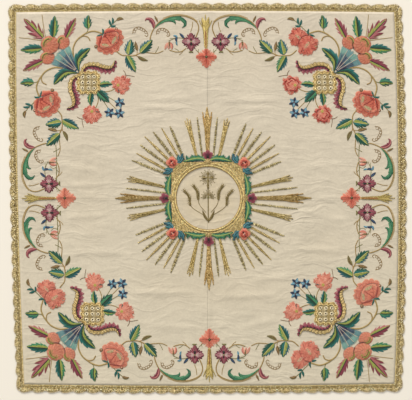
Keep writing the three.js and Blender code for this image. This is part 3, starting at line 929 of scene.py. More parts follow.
def fruit(centre, wide, high, lift):
    """Three rings of whirling stitches, the unripe patch with its two crescents, and the outline."""
    middle = np.array(centre)
    size = np.array([wide, high])
    heart = middle + size * 0.3
    made = []
    for near, far, low, top in ((0.66, 1.0, 0.75, 0.1), (0.33, 0.76, 0.95, 0.72), (0, 0.42, 1.0, 0.95)):
        count = int(2 * math.pi * (wide + high) / 2 * (0.35 * near + 0.65 * far) / FRUIT_STITCH)
        a = (np.arange(count) + loose(count, 0.3)) / count * 2 * np.pi
        wobble = (1 + loose(count, 0.07))[:, None]
        rim_near = middle + around(a - WHIRL * near) * size
        rim_far = middle + around(a - WHIRL * far) * size
        start = heart + (rim_near - heart) * near * wobble
        end = heart + (rim_far - heart) * (1.0 if far == 1.0 else far * wobble)
        streak = 0.5 + 0.5 * np.sin(a * 13 + 4 * near)
        tint = blend((198, 108, 80), (216, 144, 110), 0.25 + 0.6 * streak)
        tint = blend(tint, CORAL_DEEP, 0.22 * (1 - streak) * (0.5 + 0.5 * np.cos(a - math.radians(240))))
        made.append(dyed(rows(start, end, 0.84, low * lift + 0.1, top * lift + 0.05, tint)))
    a = np.radians(45) + np.linspace(-1.15, 1.15, int(wide * 3.4))
    out = around(a)
    patch = middle + out * size * (0.46 + loose(len(a), 0.18))[:, None]
    longer = (0.22 + loose(len(a), 0.14))[:, None]
    turning = blend(UNRIPE, CORAL_LIGHT, np.clip(0.06 + loose(len(a), 0.35), 0, 0.5))
    made.append(dyed(rows(patch, patch + out * size * longer, 0.8, lift + 0.2, lift * 0.9 + 0.2, turning), 8))
    crescents = ((0.74, 0.2, 0.8, 2.0, (150, 152, 70)), (0.64, 0.1, 0.9, 1.1, (92, 68, 40)))
    for reach, first, last, width, tone in crescents:
        crescent = middle + (out * size * reach)[int(len(a) * first) : int(len(a) * last) : 4]
        made.append(stem(crescent, width, tone, lift=lift + 0.25))
    outline = middle + loop((0, 0), 1.0) * size
    made.append(dyed(rows(outline[:-1], outline[1:], 0.75, 0.14, 0.14, (164, 70, 48))))
    return np.vstack(made)


def shadows_between():
    """Dark crescents where the large fruit lies over the small ones."""
    made = []
    for turn in (180, 270):
        a = np.radians(turn + np.linspace(-26, 26, 13))
        arc = np.array(FRUITS[2][0]) + around(a) * 13.1
        made.append(stem(arc, 1.4, (74, 38, 32), lift=0.95))
    return np.vstack(made)


FAN_FOOT = np.array([181.0, 181.0])
FAN_SPREAD, FAN_REACH, GORES = 28.0, 40.5, 4
GORE = 2 * FAN_SPREAD / GORES  # degrees of the fan that one gore takes


def blue_fan():
    """Four gores from light at the rim to dark at the foot, parted by pale stitches."""
    made = []
    for gore in range(GORES):
        low = 45 - FAN_SPREAD + GORE * gore
        span = (low, low + GORE)
        light, dark = ((128, 166, 152), (60, 88, 106)) if gore % 2 else ((108, 146, 144), (38, 46, 74))
        made.append(ring(FAN_FOOT, 28, FAN_REACH, light, low=0.5, high=0.25, span=span))
        made.append(ring(FAN_FOOT, 17, 31, blend(light, dark, 0.45), low=0.6, high=0.52, span=span))
        made.append(ring(FAN_FOOT, 3, 20, dark, low=0.5, high=0.62, span=span))
        out = polar(1, sum(span) / 2)
        made.append(stem([FAN_FOOT + out * 9, FAN_FOOT + out * 27], 1.0, (58, 52, 76), stitch=3, lift=0.8))
    at = np.arange(5, 36, 2.0)[:, None]
    for gore in range(1, GORES):
        out = polar(1, 45 - FAN_SPREAD + GORE * gore)
        made.append(rows(FAN_FOOT + out * at, FAN_FOOT + out * (at + 1.6), 1.3, 0.9, 0.9, (220, 198, 172)))
    return np.vstack(made)


# Each: its spine, half its width, its colours, its teeth, how deep they are, and where it is widest
PALM = ([(231, 231), (244, 244.5), (257.5, 259)], 10.2, (PLUM, LEAF_LIGHT, PLUM, ROSE), 4, 0.56, 0.38)
BESIDE_PALM = [
    ([(198, 231), (191.5, 245), (183.5, 259)], 7.2, (ROSE, LEAF_LIGHT, PLUM, PLUM), 5, 0.44, 0.45),
    ([(216, 232), (215, 247), (213.5, 262.5)], 7.4, ((58, 128, 88), LEAF_LIGHT, TEAL, LEAF_DARK), 5, 0.36, 0.45),
    ([(179.5, 180), (182, 196), (176, 206), (163.5, 215.5)], 7.4, (LEAF_DARK, LEAF_LIGHT, TEAL, LEAF_DARK), 5, 0.34,
     0.62),
]


def palm_leaf(spine, half, colours, teeth, bite, peak):
    return leaf(spine, half, colours, teeth=teeth, bite=bite, peak=peak)


def corner_leaves():
    """Palm leaves and stalks that stand out of the fruit and beside the fan."""
    made = [palm_leaf(*PALM)]
    half = [palm_leaf(*one) for one in BESIDE_PALM] + [
        stem([(226.5, 231), (229.5, 248), (231.5, 264)], 1.1, BRONZE),
        stem([(228, 232), (232, 240), (236, 250)], 0.8, BRONZE),
    ]
    for swapped in (False, True):
        made.extend(mirrored(part, 1, 1, swapped) for part in half)
    return np.vstack(made)


def all_fruit():
    return np.vstack([fruit(*one) for one in FRUITS] + [shadows_between()])


FRUIT_FADED, FRUIT_FRESH = 0.26, 0.05
for number, image in enumerate(FOUR, 1):
    ripe = faded(all_fruit(), FRUIT_FADED if image[1] < 0 else FRUIT_FRESH)
    needlework(f"fruit_stitches_{number}", mirrored(ripe, *image), [f"fruit_{number}"])
    needlework(f"fan_stitches_{number}", mirrored(blue_fan(), *image), [f"blue_fan_{number}"])
    needlework(f"corner_leaves_{number}", mirrored(corner_leaves(), *image))
print("pieces sewn:", len(ON_SILK))

# %% [markdown]
# ## Stems, leaves, buds and tendrils
#
# Vines join the flowers along each side. They are the same in eight places, so one half of a side is drawn
# and mirrored. Each line of the tables below is one leaf or one stem.

# %% Leaves, stems and small sprigs of one half side
# Each toothed leaf: its spine, half its width, its colours, its teeth and its rib
LEAVES = [
    ([(166.6, 244), (167.3, 253), (165.5, 263)], 6.6, (LEAF_DARK, LEAF_LIGHT, TEAL, MINT), 4, RIB),
    ([(151, 162), (142, 163.8), (132.5, 163.6)], 5.0, (TEAL, LEAF_DARK, MINT, LEAF_LIGHT), 4, RIB),
    ([(109.5, 206), (107.6, 217), (106, 228)], 7.8, (LEAF_DARK, TEAL, BLUE_GREEN, LEAF_LIGHT), 6, YELLOW_RIB),
    ([(92.5, 208.5), (84.5, 217), (75.5, 227)], 7.8, (LEAF_DARK, LEAF_DARK, BLUE_GREEN, LEAF_LIGHT), 6, YELLOW_RIB),
    ([(112, 203.5), (106.5, 193), (99.8, 180.5)], 7.2, (BLUE_GREEN, LEAF_DARK, MINT, LEAF_LIGHT), 6, YELLOW_RIB),
]
BUD = (BROWN, BRONZE, OLIVE, BROWN)
# Each small plain leaf or bud: its spine, half its width and its colours
LEAFLETS = [
    ([(133.5, 248), (135.5, 252), (136.3, 256.5)], 1.7, GREEN_LEAF),
    ([(131.5, 250), (131, 255), (131.8, 259.5)], 1.6, GREEN_LEAF),
    ([(134, 246.5), (130, 246.5), (126.5, 247.5)], 1.5, GREEN_LEAF),
    ([(125.5, 255.5), (121, 257.6), (115.5, 256.5)], 2.3, BUD),
    ([(97.2, 212), (98.8, 218), (99.8, 225)], 2.5, BUD),
    ([(96, 202.8), (90, 199), (82, 197)], 2.6, (OLIVE, BROWN, OLIVE, OLIVE)),
    ([(67.8, 253), (70, 257.5), (72.2, 261.5)], 1.4, BUD),
    ([(40.2, 230.3), (43, 232.3), (46.6, 232.6)], 1.5, (SKY, SKY, MID_BLUE, SKY)),
    ([(40.8, 230.5), (42, 227.5), (41, 223)], 1.7, (NAVY, NAVY, NAVY, MID_BLUE)),
    ([(41.3, 224), (41.6, 221.5), (40, 218.5)], 1.2, (SKY,) * 4),
    ([(31, 229.5), (34, 233), (37.3, 236.6)], 1.8, (NAVY, MID_BLUE, NAVY, NAVY)),
    ([(124.5, 159), (128, 163), (131.5, 165)], 1.3, GREEN_LEAF),
    ([(125, 158), (123.5, 154), (124.5, 150.5)], 1.3, GREEN_LEAF),
    ([(24, 209), (20.5, 209.5), (17.5, 208)], 1.1, (OLIVE,) * 4),
]
# Each stem: its points, its width and its colour
STEMS = [
    ([(187.3, 203), (187.8, 215), (183.1, 226), (176, 232.5), (169, 237), (159, 239.8), (146.5, 236.5)], 2.4,
     (168, 142, 86)),
    ([(170, 236.5), (167, 240), (166.5, 246)], 1.3, OLIVE),
    ([(179.5, 230.5), (173, 232.8), (166.5, 231), (163.8, 226)], 1.9, BRONZE),
    ([(144, 238), (137, 244.5), (132, 250), (126, 255)], 1.2, OLIVE),
    ([(128, 212), (120.1, 205.6), (113.1, 204.4), (102.1, 204.3), (91, 209)], 1.8, BRONZE),
    ([(98, 205), (97.3, 209), (97.2, 213)], 1.0, BRONZE),
    ([(103, 204), (99, 204.2), (95, 202.5)], 1.1, (164, 124, 70)),
    ([(91, 209.6), (79, 208), (69, 207.7), (60.6, 210.9)], 1.4, BRONZE),
    ([(71.5, 208.6), (69, 212.5), (66.8, 217)], 1.0, OLIVE),
    ([(116.8, 183), (114.5, 179.5), (114, 175.5)], 1.0, BROWN),
    ([(114, 176.4), (108, 175.6), (102, 174.4)], 0.9, BROWN),
    ([(78.9, 227), (77.6, 233.1), (73.5, 242.3), (66.3, 251.4), (58.2, 256.4), (47.1, 260.4), (32, 260.9), (20, 257.3),
      (13, 252.6), (10, 246.5), (10.3, 239.5), (14, 230.5)], 1.9, BRONZE),
    ([(60, 257.8), (47, 262.2), (32, 262.6), (19.5, 258.9), (11.5, 253)], 1.0, (176, 148, 88)),
    ([(18.1, 252.3), (18.9, 245.2), (21.2, 238.2)], 1.1, BRONZE),
    ([(51.2, 211.8), (42.9, 209.5), (34.9, 210), (28, 214.6)], 1.6, BRONZE),
    ([(38, 205.4), (35.2, 207.3), (32.5, 210.3)], 1.0, BRONZE),
    ([(44, 214.2), (40.5, 212.5), (38, 210)], 0.8, OLIVE),
    ([(52.2, 225.5), (44.6, 228.5), (36.6, 229.5), (29, 227.5)], 1.0, OLIVE),
    ([(50.5, 229), (46, 228.8), (43, 229.3)], 0.7, OLIVE),
    ([(146, 152), (136, 154), (126.5, 158.5)], 1.3, BRONZE),
    ([(14.5, 212.5), (11.5, 209.5), (9.5, 205.5)], 1.0, OLIVE),
    ([(10.5, 213), (10.8, 210), (9.5, 206.5)], 0.8, OLIVE),
    ([(140, 146), (132, 141), (126, 138)], 1.0, OLIVE),
]
TENDRILS = [
    [(103.5, 236), (101.5, 242.5), (94.5, 245.3), (86.5, 241.8), (81.8, 235), (83.5, 231.6), (86.2, 233.4)],
    [(69.8, 234.5), (68.3, 241.2), (60.4, 243.6), (53.2, 239.6), (50.8, 234.3), (53.1, 231.3), (55.4, 233)],
]


def curled(points, colour):
    """A tendril with small curls along its inner side."""
    line, way = curve(points, 0.9)
    made = [stem(points, 0.95, colour, stitch=1.6)]
    middle = line.mean(0)
    for i in range(3, len(line) - 7, 6):
        inward = (middle - line[i]) / np.linalg.norm(middle - line[i])
        curl = loop(line[i] + inward * 2.0, 1.9)[::6]
        made.append(rows(curl[:-1], curl[1:], 0.85, 0.15, 0.15, colour))
    return np.vstack(made)


def acanthus():
    """The green scroll leaf with its hooked lobes, and the pink leaf that curls the other way."""
    dark = (30, 92, 66)
    scroll = [(72.5, 243.5), (63.5, 250.8), (55.5, 254.9), (46, 257.6), (36, 257.3), (29.8, 253), (28.4, 248),
              (32.8, 244.2)]
    inner = [(41, 257.5), (33.5, 256.4), (29, 251.5), (29.6, 247), (33.5, 243.6)]
    pink = [(73, 243), (74, 250.4), (77.6, 255.8), (83, 256.8), (86, 253.6)]
    return np.vstack([
        leaf(scroll, 3.7, (MINT, (96, 150, 108), dark, MINT), teeth=7, bite=0.42, rib=None, peak=0.62, lean=34),
        leaf(inner, 2.6, (dark, dark, dark, LEAF_DARK), rib=None),
        leaf([(55, 254.5), (48, 254.9), (43.4, 252), (43, 248.5)], 2.4, (dark, MINT, dark, MINT), rib=None),
        leaf(pink, 3.0, (PLUM, (196, 124, 116), PURPLE, PLUM), rib=None),
        leaf([(75, 250.5), (77.5, 253.4), (80.2, 252.2)], 1.1, (PURPLE,) * 4, rib=None, dome=0.6),
    ])


def pink_bud():
    pale = ((212, 148, 126), CORAL_PALE, (222, 178, 158), (212, 148, 126))
    rosy = (CORAL_PALE, CORAL_PALE, ROSE, CORAL_LIGHT)
    return np.vstack([
        leaf([(51.8, 222.6), (55.4, 218.4), (58.6, 212.4)], 2.6, pale, rib=None),
        leaf([(51, 222.6), (48.6, 218.4), (48.2, 212.2)], 2.4, rosy, rib=None),
        leaf([(51.5, 222.8), (52.3, 218), (52.8, 213)], 2.6, pale, rib=None, dome=0.6),
        leaf([(51.4, 224), (51.8, 220.4), (52.2, 215.6)], 1.9, (BROWN, OLIVE, OLIVE, BROWN), dome=0.9, rib=None),
    ])


def blue_star(centre, turn=0):
    made = []
    for petal in range(6):
        out = polar(1, 60 * petal + 18 + turn)
        spine = [centre + out * reach for reach in (0.4, 4, 8.2)]
        tone = (NAVY, RIB, MID_BLUE, NAVY) if petal % 2 else (SKY, (146, 184, 192), MID_BLUE, SKY)
        made.append(leaf(spine, 2.3, tone, rib=None, lean=28, peak=0.42))
    made.append(knot(centre, 1.5, (104, 62, 56), 0.5))
    return np.vstack(made)


def half_side():
    """All the vines, leaves and buds of one half side."""
    made = [leaf(spine, half, colours, teeth, rib=rib) for spine, half, colours, teeth, rib in LEAVES]
    made += [leaf(spine, half, colours, rib=None, lean=30) for spine, half, colours in LEAFLETS]
    made += [stem(points, width, colour) for points, width, colour in STEMS]
    made += [curled(points, (140, 110, 62)) for points in TENDRILS]
    made += [acanthus(), pink_bud(), blue_star(np.array([122.8, 137.2]))]
    bud = in_rose((-11.2, 17.6))[0]
    made += [knot(bud, 2.4, BROWN, 0.3), knot(bud, 1.2, CORAL_PALE, 0.6)]
    bud = in_rose((17.8, -7.4))[0]
    made += [knot(bud, 2.8, (124, 96, 66), 0.5), knot(bud, 1.2, (190, 150, 110), 0.8)]
    return np.vstack(made)


def below_basket():
    """The leaf and the star on the slope between the two halves of a corner."""
    return np.vstack([
        leaf([(153.5, 153.5), (146, 146), (137.5, 137.5)], 7.8, (LEAF_DARK, MINT, TEAL, LEAF_DARK), teeth=5),
        stem([(138, 138), (132, 132), (127, 127)], 1.1, BRONZE),
        blue_star(np.array([123.5, 121.9]), 30),
    ])


BORDER_LINE = [(77, 213.6), (60, 212.6), (38, 213.2), (13, 213.2)]
for number, image in enumerate(EIGHT, 1):
    vine = half_side()
    if image[2]:
        # Along the upright sides a thin stem runs on between the flowers
        vine = np.vstack([vine, stem(BORDER_LINE, 1.2, OLIVE), stem([(45, 213.2), (43, 218), (46, 222)], 0.8, OLIVE)])
    needlework(f"vine_{number}", mirrored(vine, *image))
for number, image in enumerate(FOUR, 1):
    needlework(f"star_sprig_{number}", mirrored(below_basket(), *image))
print("pieces sewn:", len(ON_SILK))

# %% [markdown]
# ## Baskets and wings
#
# The basket is a cream square, crossed by gold threads and set with spangles, inside a wavy rim of gold cord.
# Out of its neck curl two wings: a band of couched gold, a black line and a fringe of purple silk.

# %% The basket
BASKET = np.array([166.6, 166.0])
BASKET_HALF = 13.4
SPANGLE_PITCH = 8.2
CORNER_REACH = BASKET_HALF * 1.26  # the rim cuts the basket's corners here
SPANGLES = [BASKET + np.array([i * SPANGLE_PITCH, j * SPANGLE_PITCH]) for i in (-1, 0, 1) for j in (-1, 0, 1)]


def basket_rim(grow):
    """The wavy rim, this much outside its middle line."""
    a = np.linspace(0, 2 * np.pi, 97)
    square = BASKET_HALF / np.maximum(np.abs(np.cos(a)), np.abs(np.sin(a)))
    radius = np.minimum(square, CORNER_REACH) + 1.0 * np.cos(12 * a) + grow
    return BASKET + around(a) * radius[:, None]


def basket_cream():
    """Level stitches across the basket, in four panels of two tones."""
    y = np.arange(-BASKET_HALF + 0.4, BASKET_HALF - 0.2, 0.62)
    made = []
    for part in range(4):
        x = -BASKET_HALF + 0.6 + part * (2 * BASKET_HALF - 1.2) / 4 + loose(len(y), 0.5)
        start = BASKET + np.stack([x, y], 1)
        tone = (212, 194, 152) if part % 2 else (194, 170, 118)
        made.append(dyed(rows(start, start + [BASKET_HALF / 2 + 0.6, 0], 0.9, 0.5, 0.5, tone), 6))
    return np.vstack(made)


def spangles_dark():
    return np.vstack([knot(place, 1.15, (62, 44, 34), 0.85) for place in SPANGLES])


# Each cord of the rim: how far outside the middle line, its colour and how far it stands up
RIM_CORDS = [(-1.6, GILT_DULL, 0.8), (-0.6, GILT_BRIGHT, 0.9), (0.5, GILT, 0.9), (1.6, GILT_DULL, 0.7),
             (2.6, GILT, 0.4)]


def basket_gold():
    """The cords and curls of the rim, the crossed threads and the rings of the spangles."""
    made = []
    for grow, colour, lift in RIM_CORDS:
        line = basket_rim(grow)
        over = (line[1:] - line[:-1]) * 0.4
        made.append(dyed(rows(line[:-1], line[1:] + over, 1.25, lift, lift, colour), 14))
    for angle in np.arange(12) * np.pi / 6:
        out = np.array([math.cos(angle), math.sin(angle)])
        square = min(BASKET_HALF / max(abs(out)), CORNER_REACH)
        curl = loop(BASKET + out * (square + 1.4), 1.9)[::6]
        made.append(dyed(rows(curl[:-1], curl[1:], 1.1, 1.0, 1.0, GILT_BRIGHT), 10))
    end = BASKET_HALF - 0.8
    for k in (-1.5, -0.5, 0.5, 1.5):
        across = np.array([(-end, k * SPANGLE_PITCH), (end, k * SPANGLE_PITCH)])
        for thread in (across, across[:, ::-1]):
            made.append(stem(BASKET + thread, 0.85, GILT_DULL, lift=0.85))
    for place in SPANGLES:
        rim = loop(place, 1.9)[::5]
        made.append(rows(rim[:-1], rim[1:] * 1.2 - rim[:-1] * 0.2, 1.7, 0.95, 0.95, (250, 234, 196)))
    return np.vstack(made)


# %% The wings
# The black line of a wing, with the width of its gold and of its fringe
WING = np.array([
    (174.5, 178.5, 2.4, 4.0), (172.0, 185.2, 4.6, 5.2), (166.3, 189.0, 5.4, 6.8), (156.0, 189.2, 5.6, 7.8),
    (149.0, 186.8, 5.4, 8.0), (139.5, 184.9, 5.0, 7.4), (133.4, 186.4, 4.0, 5.8), (130.6, 190.2, 2.6, 4.6),
    (128.6, 196.8, 0.8, 2.8),
])


def wing_lines(spacing):
    """The black line, the way it runs, and the widths of gold and fringe along it."""
    line, way = curve(WING[:, :2], spacing)
    reach = reach_of(smooth(WING[:, :2]))
    share = np.interp(np.linspace(0, reach[-1], len(line)), reach, np.linspace(0, len(WING) - 1, len(reach)))
    gold, fringe = (np.interp(share, np.arange(len(WING)), WING[:, k]) for k in (2, 3))
    return line, way, gold, fringe


def wing_gold():
    line, way, gold, _ = wing_lines(1.1)
    made = []
    tones = ((150, 124, 74), GILT, GILT_BRIGHT, (196, 168, 104), GILT_BRIGHT, (150, 124, 74))
    wave = 0.09 * np.sin(np.arange(len(line)) * 2 * np.pi / 4.5)
    for cord, tone in enumerate(tones):
        shifted = line - aside(way) * (gold * (0.1 + cord * (0.17 + wave * 0.3)))[:, None]
        step = (shifted[1:] - shifted[:-1]) * 0.35
        width = np.maximum(gold[:-1] * 0.24, 0.5)
        made.append(dyed(rows(shifted[:-1] - step, shifted[1:] + step, width, 0.8, 0.8, tone), 10))
    ticks = slice(1, -6, 4)
    near, far = line - aside(way) * 0.4, line - aside(way) * (gold * 0.9)[:, None]
    made.append(rows(near[ticks], far[ticks] + way[ticks] * 2.4, 1.0, 1.2, 1.0, (116, 90, 50)))
    return np.vstack(made)


def wing_fringe():
    line, way, _, fringe = wing_lines(0.5)
    n = len(line)
    tooth = 1.14 - 0.5 * ((np.arange(n) / 10.0) % 1.0)
    out = aside(way) * 0.86 + way * 0.6
    reach = (fringe * tooth * (1 + loose(n, 0.06)))[:, None]
    fringed = blend(PURPLE, (192, 124, 122), np.clip(0.55 + loose(n, 0.45), 0, 1))
    made = [
        dyed(rows(line + out * reach * 0.42, line + out * reach, 0.8, 0.45, 0.1, fringed)),
        dyed(rows(line, line + out * reach * 0.6, 0.8, 0.7, 0.5, (140, 64, 74)), 9),
        stem(line, 1.3, RIB, lift=0.95),
    ]
    notch = slice(0, n, 10)
    tip = line + aside(way) * 3.0 + way * 1.8
    made.append(rows(line[notch], tip[notch], 1.4, 0.95, 0.7, (58, 34, 38)))
    return np.vstack(made)


def both_wings(stitches):
    return np.vstack([stitches(), mirrored(stitches(), 1, 1, True)])


for number, image in enumerate(FOUR, 1):
    silks = np.vstack([basket_cream(), spangles_dark()])
    needlework(f"wing_fringe_{number}", mirrored(both_wings(wing_fringe), *image))
    needlework(f"basket_silk_{number}", mirrored(silks, *image))
    gold = np.vstack([basket_gold(), both_wings(wing_gold)])
    goldwork(f"basket_gold_{number}", mirrored(gold, *image), [f"corner_goldwork_{number}"])
print("pieces sewn:", len(ON_SILK))

# %% [markdown]
# ## The spike of gold on each side
#
# Between two scrolls a spike of gold stands on the side flower like an ear of corn: narrow at its foot, full
# near its top and ending in five points, with an orange thread up its middle.

# %% The spike
SLIMMER = 0.76  # the width of the two on the upright sides, as a share of the others


def spike():
    line, way = curve([(0, 215), (0, 235), (0, 253)], 0.8)
    n = len(line)
    half = np.interp(np.linspace(0, 1, n), [0, 0.5, 0.85, 1], [2.4, 3.7, 6.0, 4.8])[:, None]
    made = []
    for side in (-1, 1):
        out = way + aside(way) * side * 0.8
        made.append(dyed(rows(line - way * 1.5, line + out * half * 1.15, 1.0, 0.9, 0.3, (204, 180, 104)), 22))
        made.append(dyed(rows((line + aside(way) * side * half * 0.5)[::2], (line + out * half * 1.3)[::2], 0.8, 0.7,
                              0.4, (166, 144, 84)), 16))
    for x, y in ((-8.6, 254), (-4.6, 258.5), (0, 262.5), (4.6, 258.5), (8.6, 254)):
        made.append(stem([(x * 0.3, 241), (x * 0.7, 248), (x, y)], 1.4, (184, 162, 92), lift=0.5))
    return np.vstack(made)


def spike_thread():
    return np.vstack([
        stem([(-0.7, 216), (-0.5, 239)], 0.8, (182, 114, 60), stitch=1.6, lift=1.3),
        stem([(0.8, 216), (0.6, 237)], 0.8, (168, 118, 68), stitch=1.6, lift=1.25),
    ])


SPIKES = [(1, 1, False), (-1, 1, True), (1, -1, False), (1, 1, True)]  # top, left, bottom, right
for number, image in enumerate(SPIKES, 1):
    gold = spike()
    if image[2]:
        gold[:, [0, 2]] *= SLIMMER
    goldwork(f"spike_gold_{number}", mirrored(gold, *image), [f"gold_spike_{number}"])
    needlework(f"spike_thread_{number}", mirrored(spike_thread(), *image))

# %% [markdown]
# ## The sunburst
#
# The rays are couched gold: cords laid side by side and tied down. The wide rays are smooth, and the thin ones
# between them are of crinkled thread, which looks darker and rougher. The frame is filled with short pieces
# of gold in a brick pattern, and bright cords run round the opening.

# %% Rays
MEDALLION = 45.0
FRAME_HALF, FRAME_CORNER = 51.4, 14.0
RISE = 0.1  # how far the sunburst sits above the middle of the cloth
# Length of the middle ray, the ray beside it and the sheaf of each quarter: right, top, left, bottom
RAY_LENGTHS = [(145, 127, 124), (130, 117, 119), (131, 117, 119), (131, 113, 116)]
RAY_FOOT = 58.0
RAY_SHADES = (0.9, 1.0, 0.86, 1.0)  # the gold has darkened most on the left and right
CRINKLED = (142, 126, 78)
SMOOTH_GOLD = (192, 164, 90)


def axes(foot, tip):
    """Both ends of a ray, its length, the way it runs and the way across it."""
    foot, tip = np.array(foot, float), np.array(tip, float)
    length = np.linalg.norm(tip - foot)
    way = (tip - foot) / length
    return foot, tip, length, way, np.array([-way[1], way[0]])


def smooth_ray(foot, tip, widths, colour, cords=5, pitch=2.2):
    """Cords side by side from foot to tip. widths gives half the ray's width at even steps."""
    foot, tip, length, way, side = axes(foot, tip)
    t = np.linspace(0, 1, int(length / pitch) + 1)
    half = np.interp(t, np.linspace(0, 1, len(widths)), widths)
    made = []
    for number, cord in enumerate(np.linspace(-1, 1, cords)):
        line = foot + np.outer(t, tip - foot) + np.outer(half * cord * 0.82, side)
        arch = 0.75 - 0.3 * cord * cord
        width = np.maximum(half[:-1] * 2.3 / cords, 0.6)
        tone = blend(colour, GILT_BRIGHT if number % 2 else CRINKLED, 0.35)
        made.append(dyed(rows(line[:-1] - way * 0.4, line[1:] + way * 0.4, width, arch, arch, tone), 24))
    return np.vstack(made)


def crinkled_ray(foot, tip, half, colour):
    """Short slanted pieces of rough thread along a line."""
    foot, tip, length, way, side = axes(foot, tip)
    n = int(length / 0.8)
    t = np.arange(n) / n
    swell = np.interp(t, [0, 0.3, 0.8, 1], [0.75, 1, 1, 0.3])
    wide = half * swell[:, None] * (1 + loose(n, 0.3)[:, None])
    sign = np.where(np.arange(n) % 2, 1.0, -1.0)[:, None]
    middle = foot + np.outer(t, tip - foot) + side * loose(n, 0.35)[:, None]
    light = (chance.random(n) < 0.34)[:, None]
    tint = np.where(light, (206, 188, 130), colour)
    start, end = middle - side * wide * sign - way * 0.5, middle + side * wide * sign + way * 0.7
    return dyed(rows(start, end, 1.0, 0.35, 0.5, tint), 16)


def feathers(foot, tip, colour):
    """The barbs that stand out of a spear's head."""
    foot, tip, length, way, side = axes(foot, tip)
    made = []
    for sign in (-1, 1):
        for share, reach in ((0.56, 5.0), (0.64, 6.4), (0.72, 6.6)):
            root = foot + way * length * share + side * sign * 2.4
            barb = [root, root + side * sign * reach * 0.35 + way * 5, root + side * sign * reach * 0.6 + way * 13]
            made.append(stem(barb, 1.6, colour, lift=0.5))
    return np.vstack(made)


def sheaf(foot, tip, colour):
    """A ray that widens and ends in three long points."""
    foot, tip, length, way, side = axes(foot, tip)
    body = tip - way * 13
    made = [smooth_ray(foot, body, [1.6, 2.2, 2.8, 3.4], colour, 5)]
    for lean, reach in ((-1, 11), (0, 14), (1, 11)):
        root = body + side * lean * 2.1 - way * 2
        made.append(smooth_ray(root, root + way * reach + side * lean * 1.6, [1.15, 1.0, 0.5], colour, 2))
    return np.vstack(made)


# Each ray between two spears: the direction of its foot, that of its tip, and how far out it ends
CORNER_RAYS = [(32, 27, 116), (36.3, 32.7, 119), (40.7, 38.8, 122), (45, 45, 125), (49.3, 51.2, 122),
               (53.7, 57.3, 119), (58, 63, 120)]


def quarter_rays(quarter):
    """The spear with a crinkled ray and a sheaf on each side, and the rays of the corner after it."""
    level = quarter * 90
    middle, beside, wide = RAY_LENGTHS[quarter]
    foot, tip = polar(RAY_FOOT, level), polar(middle, level)
    spear = np.array((186, 148, 82)) * RAY_SHADES[quarter]
    pale = np.array(SMOOTH_GOLD) * RAY_SHADES[quarter]
    made = [smooth_ray(foot, tip, [2.2, 2.9, 3.7, 4.6, 3.6, 0.5], spear, 7), feathers(foot, tip, spear)]
    for side in (-1, 1):
        made.append(crinkled_ray(polar(RAY_FOOT, level + side * 7.5), polar(beside, level + side * 7), 1.7, CRINKLED))
        made.append(sheaf(polar(RAY_FOOT, level + side * 15), polar(wide, level + side * 14), pale))
    for number, (foot, tip, length) in enumerate(CORNER_RAYS):
        start, end = polar(RAY_FOOT, level + foot), polar(length, level + tip)
        if number % 2:
            made.append(smooth_ray(start, end, [1.2, 1.5, 1.5, 0.5], SMOOTH_GOLD, 3))
        else:
            made.append(crinkled_ray(start, end, 2.4, CRINKLED))
    return np.vstack(made)


# %% Frame round the medallion
def frame_reach(angle):
    """How far the frame's outer edge is from the middle, at each angle."""
    straight = FRAME_HALF / np.maximum(np.abs(np.cos(angle)), np.abs(np.sin(angle)))
    corner = FRAME_HALF - FRAME_CORNER
    turn = np.abs((angle % (np.pi / 2)) - np.pi / 4)
    along = corner * math.sqrt(2) * np.cos(turn)
    off = corner * math.sqrt(2) * np.sin(turn)
    rounded = along + np.sqrt(np.maximum(FRAME_CORNER**2 - off**2, 0))
    return np.where(off < FRAME_CORNER / math.sqrt(2), rounded, straight)


BRICK, BRICK_ROW = 2.1, 0.85  # length of one short piece of gold, and how far apart their rows are
# Each round cord of the opening: its radius, how far it stands up, its width and its colour
OPENING_CORDS = [(45.4, 0.9, 1.2, (186, 150, 80)), (46.6, 1.25, 1.4, (248, 222, 150)),
                 (47.8, 1.2, 1.1, (150, 120, 66)), (50.3, 1.25, 1.3, (236, 206, 136))]


def frame_gold():
    """Short pieces of gold in a brick pattern, the cords round them and four fans on the opening's rim."""
    made = []
    for number, radius in enumerate(np.arange(MEDALLION + 3.2, 68, BRICK_ROW)):
        n = int(2 * math.pi * radius / BRICK)
        angle = (np.arange(n) + 0.5 * (number % 2)) / n * 2 * np.pi
        angle = angle[frame_reach(angle) - 0.6 > radius]
        half = 1.15 / radius
        spots = chance.random(len(angle))[:, None]
        tint = np.where(spots < 0.2, (166, 146, 96), np.where(spots < 0.66, (206, 178, 114), (236, 212, 146)))
        made.append(dyed(rows(around(angle - half) * radius, around(angle + half) * radius, 1.0, 1.0, 1.0, tint), 14))
    a = np.linspace(0, 2 * np.pi, 241)
    circle = around(a)
    for radius, lift, width, colour in OPENING_CORDS:
        line = circle * radius
        inside = frame_reach(a[:-1]) > radius + 0.9
        step = (line[1:] - line[:-1]) * 0.5
        made.append(dyed(rows((line[:-1] - step)[inside], (line[1:] + step)[inside], width, lift, lift, colour), 18))
    edge = circle * (frame_reach(a) - 0.3)[:, None]
    step = (edge[1:] - edge[:-1]) * 0.4
    made.append(dyed(rows(edge[:-1] - step, edge[1:] + step, 1.2, 0.95, 0.95, (206, 174, 108)), 10))
    for quarter in range(4):
        root = polar(50.0, quarter * 90)
        for number, degrees in enumerate(range(-75, 76, 15)):
            tone = (214, 186, 122) if number % 2 else (150, 124, 74)
            made.append(rows(root, root + polar(7.4, quarter * 90 + degrees), 1.4, 1.6, 1.2, tone))
    return np.vstack(made)


def raised(stitches):
    """The same stitches, moved up to the middle of the sunburst."""
    stitches[:, [1, 3]] += RISE
    return stitches


sunburst = [quarter_rays(quarter) for quarter in range(4)] + [frame_gold()]
goldwork("sunburst_gold", raised(np.vstack(sunburst)), ["sunburst_goldwork"])


